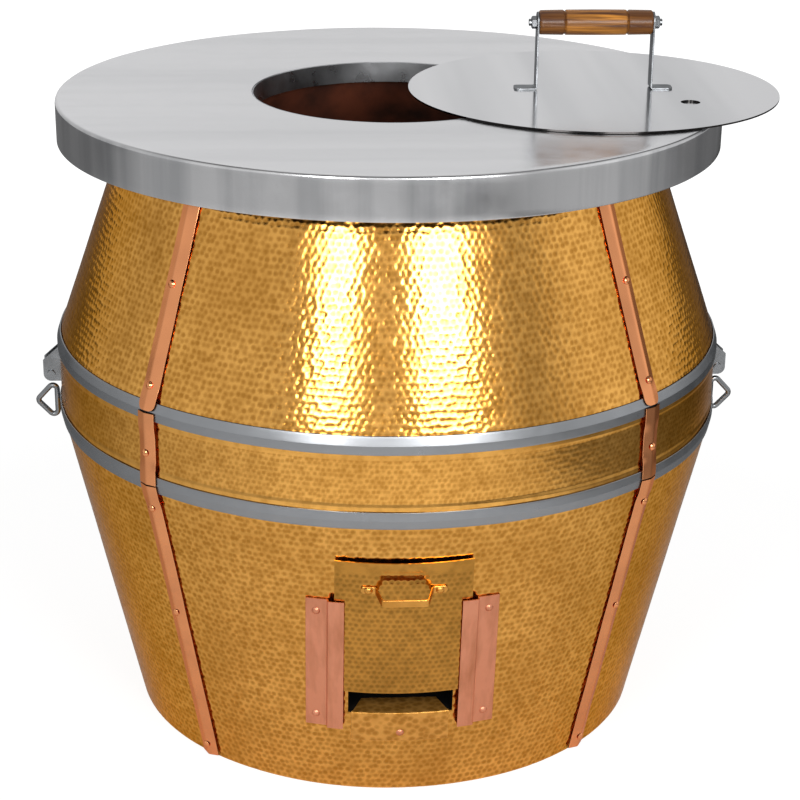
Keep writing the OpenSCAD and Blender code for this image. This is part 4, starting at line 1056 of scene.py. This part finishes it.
def build_door_pull():
    """The handle is a strip bent to a flat-topped hat, whose feet follow the door's curve."""
    s = sizes()
    origin, across, upward, outward = door_frame()
    t = s.pull_sheet
    foot_in, foot_out = s.pull_span / 2 - s.pull_foot, s.pull_span / 2 + s.pull_foot
    face, bar = s.door_gap + s.sheet, s.pull_bar / 2
    low_in, low_out = (face + s.fit + t / 2 - door_fall(x) for x in (foot_in, foot_out))
    top = face + s.pull_out - t / 2
    line = bent([(-foot_out, low_out), (-foot_in, low_in), (-bar, top), (bar, top), (foot_in, low_in),
                 (foot_out, low_out)], 3.5 * MM)
    line = split(line, 2 * MM)
    places = distances(line)
    from_end = np.minimum(places, places[-1] - places)
    half, corner = s.pull_width / 2, 3 * MM
    width = half - corner + np.sqrt(corner ** 2 - (corner - from_end).clip(0) ** 2)
    start = origin + upward * (door_length() - s.pull_down)
    part = strip(line, width, t, start, across, outward, upward)
    make_piece("pull_strap", [part], finishes()["brass_handle"], "ash_door", ["door_pull"])


def build_rails():
    """Each rail is a sheet bent to a Z and carried up the cone: one flange on the shell and the other over
    the door's edge. A tab closes its foot."""
    s = sizes()
    level = wall_normal(LOWER)[0]
    t, inner, web, lift = s.sheet, s.rail_clear / 2, s.rail_clear / 2 + s.rail_raised, s.rail_lift
    for side, name in ((-1, "door_rail_left"), (1, "door_rail_right")):
        outer = max(abs(low(name).x), abs(high(name).x))
        bottom, top = low(name).z, high(name).z
        outline = rounded([(outer, s.fit), (web - t, s.fit), (web - t, lift), (inner, lift), (inner, lift + t),
                           (web, lift + t), (web, s.fit + t), (outer, s.fit + t)],
                          np.array([0.3, 0.9, 0.5, 0.4, 0.5, 1.8, 0.6, 0.6]) * MM)
        outline = split(outline, 4 * MM, True)

        def on_cone(x, off, height, side=side):
            """Points at a distance outside the lower cone, from their x and height."""
            radius = wall_radius(height) + off / level
            return np.stack([side * x, -np.sqrt(radius ** 2 - x ** 2), height], -1)

        heights = np.linspace(bottom, top, 45)[:, None]
        x, off = outline[:, 0] + 0 * heights, outline[:, 1] + 0 * heights
        bow = 0.25 * MM * waves(on_cone(x, off, heights + 0 * x), 0.07, 71 + side)
        rail = swept(on_cone(x + 0.3 * bow, off + bow * ease(off / (2 * MM)), heights + 0 * x))
        tab_x = np.linspace(inner + 0.2 * MM, web - t / 2, 12)[:, None]
        corners = rounded([(s.fit, bottom), (lift + t / 2, bottom), (lift + t / 2, bottom + t),
                          (s.fit, bottom + t)], 0.3 * MM)
        tab = swept(on_cone(tab_x + 0 * corners[:, 0], corners[:, 0] + 0 * tab_x, corners[:, 1] + 0 * tab_x))
        make_piece(name.replace("door_", "") + "_bent", [rail, tab], finishes()["copper_rail"], "oven",
                   [name])


def build_sill():
    """The sill is a sheet bent over the lower edge of the opening: an apron down the shell and a tongue
    into the duct. Its section is carried across the opening, and the tongue's depth shrinks towards its
    sides."""
    s = sizes()
    level, t = wall_normal(LOWER)[0], s.sheet
    half, bottom, top, back = high("ash_sill").x, low("ash_sill").z, high("ash_sill").z, high("ash_sill").y
    x = np.linspace(-half, half, 55)[:, None]
    face = (s.fit + t) / level
    front = -np.sqrt((wall_radius(top) + face) ** 2 - x ** 2)
    reach = 40 * MM
    outline = rounded([(t, bottom), (0, bottom), (0, top), (reach, top), (reach, top - t), (t, top - t)],
                      np.array([0.4, 0.5, 2.2, 0.5, 0.4, 0.7]) * MM, steps=6)
    outline = split(outline, 5 * MM, True)
    deep, height = outline[:, 0] + 0 * x, outline[:, 1] + 0 * x
    aside = np.clip((np.abs(x) - half + s.sill_taper) / (s.sill_taper - 1 * MM), 0, 1)
    depth = back * (1 - aside) + (front + t + 1 * MM) * aside - front
    deep = np.where(deep > t, t + (deep - t) * (depth - t) / (reach - t), deep)
    y = -np.sqrt((wall_radius(height) + face) ** 2 - x ** 2) + deep
    bow = 0.2 * MM * waves(np.stack([x + 0 * y, y, height], -1), 0.05, 81) * ease((top - height) / (6 * MM))
    make_piece("sill_bent", [swept(np.stack([x + 0 * y, y + bow, height], -1))], finishes()["brass_sill"],
               "oven", ["ash_sill"])


# ---------------------------------------------------------------- lifting rings

def build_rings():
    """Each ring is a round rod carried round a triangle with rounded corners, and hangs from an eye turned
    round the pin."""
    s = sizes()
    for side, name in ((-1, "left"), (1, "right")):
        node = f"lifting_ring_{name}"
        pin = np.array(middle(f"lug_pin_{name}"))
        thick, inner, top = s.ring_rod / 2, -s.ring_back, -s.eye / 2 - s.ring_rod / 4
        drop = pin[2] - low(node).z - thick
        tip = abs(high(node).x if side > 0 else low(node).x) - abs(pin[0]) - thick
        path = rounded([(inner, top), (inner, -drop), (tip, (top - drop) / 2)], s.ring_corner, steps=8)
        path = split(path, 3 * MM, True)
        normal = square_to(np.roll(path, -1, 0) - np.roll(path, 1, 0))
        turn = np.linspace(0, 2 * math.pi, 20, endpoint=False)
        flat = path[:, None, :] + normal[:, None, :] * (thick * np.cos(turn))[None, :, None]
        points = pin + flat[..., :1] * side * X + flat[..., 1:] * Z + (thick * np.sin(turn))[None, :, None] * Y
        r, w, b = s.eye / 2, s.eye_width / 2, s.eye_bore / 2
        section = rounded([(b, -w), (r, -w), (r, w), (b, w)], np.array([0.5, 1.2, 1.2, 0.5]) * MM)
        make_piece(f"ring_{name}_link", [swept(points, closed=True), turned(section, 64, tuple(pin), Y, Z, X)],
                   finishes()["steel_bright"], f"ring_{name}", [node])


# ---------------------------------------------------------------- frame's own pieces

def finish_frame():
    """Gives each piece that the frame shows its finish."""
    f = finishes()
    chosen = {"mouth_collar": "steel_collar", "lid_plate": "steel_lid", "grip_rod": "steel_bright",
              "strap_rivets": "copper_strap", "door_rivets": "copper_rail", "door_pull_rivets": "brass_handle",
              "charcoal_grate": "iron_black", "grate_feet": "iron_black", "base_plate": "iron_black",
              "base_ring": "iron_black", "deck_plate": "iron_black", "deck_gussets": "iron_black",
              "ash_duct": "iron_black", "clay_pot_base": "pot_clay", "hearth_slab": "hearth_brick",
              "insulation_lower": "pale_wool", "insulation_upper": "pale_wool", "mouth_seal": "pale_wool",
              "lug_left": "steel_bright", "lug_right": "steel_bright", "lug_pin_left": "steel_bright",
              "lug_pin_right": "steel_bright"}
    for node, finish in chosen.items():
        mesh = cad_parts[node].data
        mesh.materials.clear()
        mesh.materials.append(f[finish])


# ---------------------------------------------------------------- stage

CAMERA_LENS, CAMERA_SENSOR = 93.375, 36.0
CAMERA_PLACE = (-0.1275, -2.3476, 1.261)
CAMERA_HEADING = (0.06105, 0.99813)
CAMERA_PITCH, CAMERA_ROLL = math.radians(21.07), math.radians(0.62)

# Brightness of the studio's walls in metal, from a turn round the object in degrees
WALLS = [(-172, 1.0), (-160, 0.9), (-140, 0.62), (-104, 0.62), (-80, 0.8), (-45, 0.8), (-36, 0.6), (-28, 0.8),
         (34, 0.8), (50, 0.5), (62, 0.86), (76, 1.0), (94, 0.92), (116, 0.8), (128, 0.55), (136, 0.12),
         (150, 0.12), (158, 0.8), (170, 0.95)]
WALL_BEHIND = 0.95
SOFT_LIGHT = 0.35

FLOOR_HALF = 6.0
# The second floor colour is the floor's painted shade, which only metal's reflections show.
FLOOR_COLOUR, FLOOR_PAINTED_SHADE = 0.82, 0.02
FLOOR_GLOW = 1.2
GLOW_NEAR, GLOW_FAR, GLOW_IN_METAL = 0.74, 1.0, 0.2

# Each lamp's turn in degrees, distance, height, width, height of its face, and radiance
LAMPS = {"lamp_left": (-20.5, 1.9, 1.25, 0.42, 0.62, 14.5), "lamp_right": (15.5, 1.9, 1.25, 0.62, 0.62, 14.5),
         "lamp_over": (180, 0.3, 2.4, 1.6, 1.6, 0.6)}
LAMP_AIM = Vector((0, 0, 0.5))


def grey(level):
    """A colour without hue."""
    return level, level, level, 1


def build_camera():
    """The camera of the photograph, fitted to the circles of the worktop, hoops and foot."""
    data = bpy.data.cameras.new("camera")
    data.lens, data.sensor_width = CAMERA_LENS, CAMERA_SENSOR
    camera = bpy.data.objects.new("camera", data)
    bpy.context.scene.collection.objects.link(camera)
    forward = Vector((*(part * math.cos(CAMERA_PITCH) for part in CAMERA_HEADING), -math.sin(CAMERA_PITCH)))
    turn = forward.to_track_quat("-Z", "Y").to_matrix() @ Matrix.Rotation(CAMERA_ROLL, 3, "Z")
    camera.matrix_world = Matrix.Translation(CAMERA_PLACE) @ turn.to_4x4()
    bpy.context.scene.camera = camera


def build_world():
    """A white studio round the object. Metal sees its walls, whose brightness follows the direction's turn
    round the object, and a darker ceiling. The camera sees white."""
    world = bpy.data.worlds.new("studio")
    bpy.context.scene.world = world
    world.use_nodes = True
    tree = world.node_tree
    tree.nodes.clear()
    coordinates = tree.nodes.new("ShaderNodeTexCoord")
    parts = tree.nodes.new("ShaderNodeSeparateXYZ")
    tree.links.new(coordinates.outputs["Generated"], parts.inputs["Vector"])
    turn = math_node(tree, "ARCTAN2", parts.outputs["X"], math_node(tree, "MULTIPLY", parts.outputs["Y"], -1.0))
    ramp = tree.nodes.new("ShaderNodeValToRGB")
    band = ramp.color_ramp.elements
    for element in band:
        element.color = grey(WALL_BEHIND)
    for degrees, bright in WALLS:
        band.new((degrees + 180) / 360).color = grey(bright)
    tree.links.new(spread(tree, turn, -math.pi, math.pi), ramp.inputs["Fac"])
    soft, mirrored, seen = new_nodes(tree, "ShaderNodeBackground", 3)
    soft.inputs["Color"].default_value = grey(SOFT_LIGHT)
    tree.links.new(ramp.outputs["Color"], mirrored.inputs["Color"])
    tree.links.new(spread(tree, parts.outputs["Z"], 0.6, 0.9, 1.0, 0.15), mirrored.inputs["Strength"])
    seen.inputs["Color"].default_value = grey(1)
    path = tree.nodes.new("ShaderNodeLightPath")
    first, second = new_nodes(tree, "ShaderNodeMixShader", 2)
    tree.links.new(path.outputs["Is Glossy Ray"], first.inputs["Fac"])
    tree.links.new(soft.outputs["Background"], first.inputs[1])
    tree.links.new(mirrored.outputs["Background"], first.inputs[2])
    direct = math_node(tree, "MAXIMUM", path.outputs["Is Camera Ray"], path.outputs["Is Transmission Ray"])
    tree.links.new(direct, second.inputs["Fac"])
    tree.links.new(first.outputs["Shader"], second.inputs[1])
    tree.links.new(seen.outputs["Background"], second.inputs[2])
    output = tree.nodes.new("ShaderNodeOutputWorld")
    tree.links.new(second.outputs["Shader"], output.inputs["Surface"])


def build_floor():
    """A pale floor that turns white where no shadow falls. Rays from the camera see a glow beside its
    colour, and far from the object the glow alone. Rays from metal see less of the glow, and a floor
    that darkens towards the back and in a band on the right: painted shade that only metal reflects."""
    h = FLOOR_HALF
    points = np.array([(-h, -h, 0), (h, -h, 0), (h, h, 0), (-h, h, 0)]) - 0.2 * MM * Z
    mesh = bpy.data.meshes.new("floor")
    mesh.from_pydata([tuple(p) for p in points], [], [(0, 1, 2, 3)])
    floor = bpy.data.objects.new("floor", mesh)
    bpy.context.scene.collection.objects.link(floor)
    material = bpy.data.materials.new("floor_white")
    material.use_nodes = True
    tree = material.node_tree
    tree.nodes.clear()
    matt, dark = new_nodes(tree, "ShaderNodeBsdfDiffuse", 2)
    matt.inputs["Color"].default_value = grey(FLOOR_COLOUR)
    dark.inputs["Color"].default_value = grey(FLOOR_PAINTED_SHADE)
    glow = tree.nodes.new("ShaderNodeEmission")
    glow.inputs["Color"].default_value = grey(1)
    glow.inputs["Strength"].default_value = FLOOR_GLOW
    path = tree.nodes.new("ShaderNodeLightPath")
    seen, mirrored = path.outputs["Is Camera Ray"], path.outputs["Is Glossy Ray"]
    across, back, _, place = object_parts(tree)
    # Painted shade for metal: band and fade darken the floor towards the back and in a band on the right.
    band = math_node(tree, "MAXIMUM", spread(tree, across, 0.85, 1.15, 1.0, 0.3),
                     spread(tree, across, 1.5, 1.8, 0.3, 1.0))
    fade = math_node(tree, "MULTIPLY", spread(tree, back, -0.5, 1.0, 1.0, 0.35), band)
    away = tree.nodes.new("ShaderNodeVectorMath")
    away.operation = "LENGTH"
    tree.links.new(place, away.inputs[0])
    near_glow = math_node(tree, "MULTIPLY", seen,
                          spread(tree, away.outputs["Value"], 0.8, 2.5, GLOW_NEAR, GLOW_FAR))
    metal_glow = math_node(tree, "MULTIPLY", math_node(tree, "MULTIPLY", mirrored, fade), GLOW_IN_METAL)
    dim, both = new_nodes(tree, "ShaderNodeMixShader", 2)
    faded = math_node(tree, "MULTIPLY", mirrored, math_node(tree, "SUBTRACT", 1.0, fade))
    tree.links.new(faded, dim.inputs["Fac"])
    tree.links.new(matt.outputs["BSDF"], dim.inputs[1])
    tree.links.new(dark.outputs["BSDF"], dim.inputs[2])
    tree.links.new(math_node(tree, "MAXIMUM", near_glow, metal_glow), both.inputs["Fac"])
    tree.links.new(dim.outputs["Shader"], both.inputs[1])
    tree.links.new(glow.outputs["Emission"], both.inputs[2])
    output = tree.nodes.new("ShaderNodeOutputMaterial")
    tree.links.new(both.outputs["Shader"], output.inputs["Surface"])
    mesh.materials.append(material)


def soft_box(name, turn, distance, height, wide, tall, radiance):
    """A rectangular lamp at a turn round the object. Its power is its radiance times pi times its area."""
    data = bpy.data.lights.new(name, "AREA")
    data.shape = "RECTANGLE"
    data.size, data.size_y = wide, tall
    data.energy = radiance * math.pi * wide * tall
    lamp = bpy.data.objects.new(name, data)
    bpy.context.scene.collection.objects.link(lamp)
    lamp.visible_camera = False
    turn = math.radians(turn)
    place = Vector((distance * math.sin(turn), -distance * math.cos(turn), height))
    facing = (LAMP_AIM - place).to_track_quat("-Z", "Y").to_matrix().to_4x4()
    lamp.matrix_world = Matrix.Translation(place) @ facing


def build_stage():
    """Camera, studio, floor and lamps."""
    build_camera()
    bpy.context.scene.view_settings.view_transform = "Standard"
    build_world()
    build_floor()
    for name, lamp in LAMPS.items():
        soft_box(name, *lamp)


# ---------------------------------------------------------------- add-on

class TANDOOR_OT_stage(bpy.types.Operator):
    """Make the camera, studio, floor and lamps"""

    bl_idname = "tandoor.stage"
    bl_label = "Stage"

    def execute(self, context):
        build_stage()
        return {"FINISHED"}


class TANDOOR_OT_barrel(bpy.types.Operator):
    """Make the hammered brass panels of the barrel"""

    bl_idname = "tandoor.barrel"
    bl_label = "Barrel"

    def execute(self, context):
        build_barrel()
        return {"FINISHED"}


class TANDOOR_OT_hoops(bpy.types.Operator):
    """Make the two folded steel hoops"""

    bl_idname = "tandoor.hoops"
    bl_label = "Hoops"

    def execute(self, context):
        build_hoops()
        return {"FINISHED"}


class TANDOOR_OT_straps(bpy.types.Operator):
    """Make the twelve folded copper straps"""

    bl_idname = "tandoor.straps"
    bl_label = "Straps"

    def execute(self, context):
        build_straps()
        return {"FINISHED"}


class TANDOOR_OT_worktop(bpy.types.Operator):
    """Make the round steel worktop with its skirt"""

    bl_idname = "tandoor.worktop"
    bl_label = "Worktop"

    def execute(self, context):
        build_worktop()
        return {"FINISHED"}


class TANDOOR_OT_pot(bpy.types.Operator):
    """Make the hand-made clay wall of the pot"""

    bl_idname = "tandoor.pot"
    bl_label = "Clay pot"

    def execute(self, context):
        build_pot()
        return {"FINISHED"}


class TANDOOR_OT_brackets(bpy.types.Operator):
    """Make the two brackets on the lid"""

    bl_idname = "tandoor.brackets"
    bl_label = "Lid brackets"

    def execute(self, context):
        build_brackets()
        return {"FINISHED"}


class TANDOOR_OT_nuts(bpy.types.Operator):
    """Make the two nuts on the grip's rod"""

    bl_idname = "tandoor.nuts"
    bl_label = "Nuts"

    def execute(self, context):
        build_nuts()
        return {"FINISHED"}


class TANDOOR_OT_grip(bpy.types.Operator):
    """Make the turned wooden grip"""

    bl_idname = "tandoor.grip"
    bl_label = "Grip"

    def execute(self, context):
        build_grip()
        return {"FINISHED"}


class TANDOOR_OT_door(bpy.types.Operator):
    """Make the hammered ash door"""

    bl_idname = "tandoor.door"
    bl_label = "Ash door"

    def execute(self, context):
        build_door()
        return {"FINISHED"}


class TANDOOR_OT_door_pull(bpy.types.Operator):
    """Make the bent brass handle of the ash door"""

    bl_idname = "tandoor.door_pull"
    bl_label = "Door handle"

    def execute(self, context):
        build_door_pull()
        return {"FINISHED"}


class TANDOOR_OT_rails(bpy.types.Operator):
    """Make the two bent copper rails"""

    bl_idname = "tandoor.rails"
    bl_label = "Door rails"

    def execute(self, context):
        build_rails()
        return {"FINISHED"}


class TANDOOR_OT_sill(bpy.types.Operator):
    """Make the brass sill below the ash opening"""

    bl_idname = "tandoor.sill"
    bl_label = "Sill"

    def execute(self, context):
        build_sill()
        return {"FINISHED"}


class TANDOOR_OT_rings(bpy.types.Operator):
    """Make the two lifting rings"""

    bl_idname = "tandoor.rings"
    bl_label = "Lifting rings"

    def execute(self, context):
        build_rings()
        return {"FINISHED"}


class TANDOOR_OT_frame(bpy.types.Operator):
    """Give the frame's own pieces their finishes"""

    bl_idname = "tandoor.frame"
    bl_label = "Other pieces"

    def execute(self, context):
        finish_frame()
        return {"FINISHED"}


OPERATORS = [TANDOOR_OT_stage, TANDOOR_OT_barrel, TANDOOR_OT_hoops, TANDOOR_OT_straps,
             TANDOOR_OT_worktop, TANDOOR_OT_pot, TANDOOR_OT_brackets, TANDOOR_OT_nuts,
             TANDOOR_OT_grip, TANDOOR_OT_door, TANDOOR_OT_door_pull, TANDOOR_OT_rails,
             TANDOOR_OT_sill, TANDOOR_OT_rings, TANDOOR_OT_frame]


class TANDOOR_PT_pieces(bpy.types.Panel):
    """Lists the oven's pieces and settings in the 3D view's sidebar"""

    bl_idname = "TANDOOR_PT_pieces"
    bl_label = "Clay tandoor oven"
    bl_space_type = "VIEW_3D"
    bl_region_type = "UI"
    bl_category = "Tandoor"

    def draw(self, context):
        for item in OPERATORS:
            self.layout.operator(item.bl_idname)
        for settings in (context.scene.tandoor_sizes, context.scene.tandoor_colours):
            column = self.layout.column()
            for name in settings.bl_rna.properties.keys():
                if name not in ("rna_type", "name"):
                    column.prop(settings, name)


CLASSES = [TandoorSizes, TandoorColours, *OPERATORS, TANDOOR_PT_pieces]


def register():
    """Add the classes and the scene's settings."""
    for item in CLASSES:
        bpy.utils.register_class(item)
    bpy.types.Scene.tandoor_sizes = bpy.props.PointerProperty(type=TandoorSizes)
    bpy.types.Scene.tandoor_colours = bpy.props.PointerProperty(type=TandoorColours)


def unregister():
    """Take away the scene's settings and the classes."""
    del bpy.types.Scene.tandoor_colours
    del bpy.types.Scene.tandoor_sizes
    for item in reversed(CLASSES):
        bpy.utils.unregister_class(item)


def main():
    """Makes every piece in order."""
    register()
    for item in OPERATORS:
        getattr(bpy.ops.tandoor, item.bl_idname.split(".")[1])()


if __name__ == "__main__":
    main()
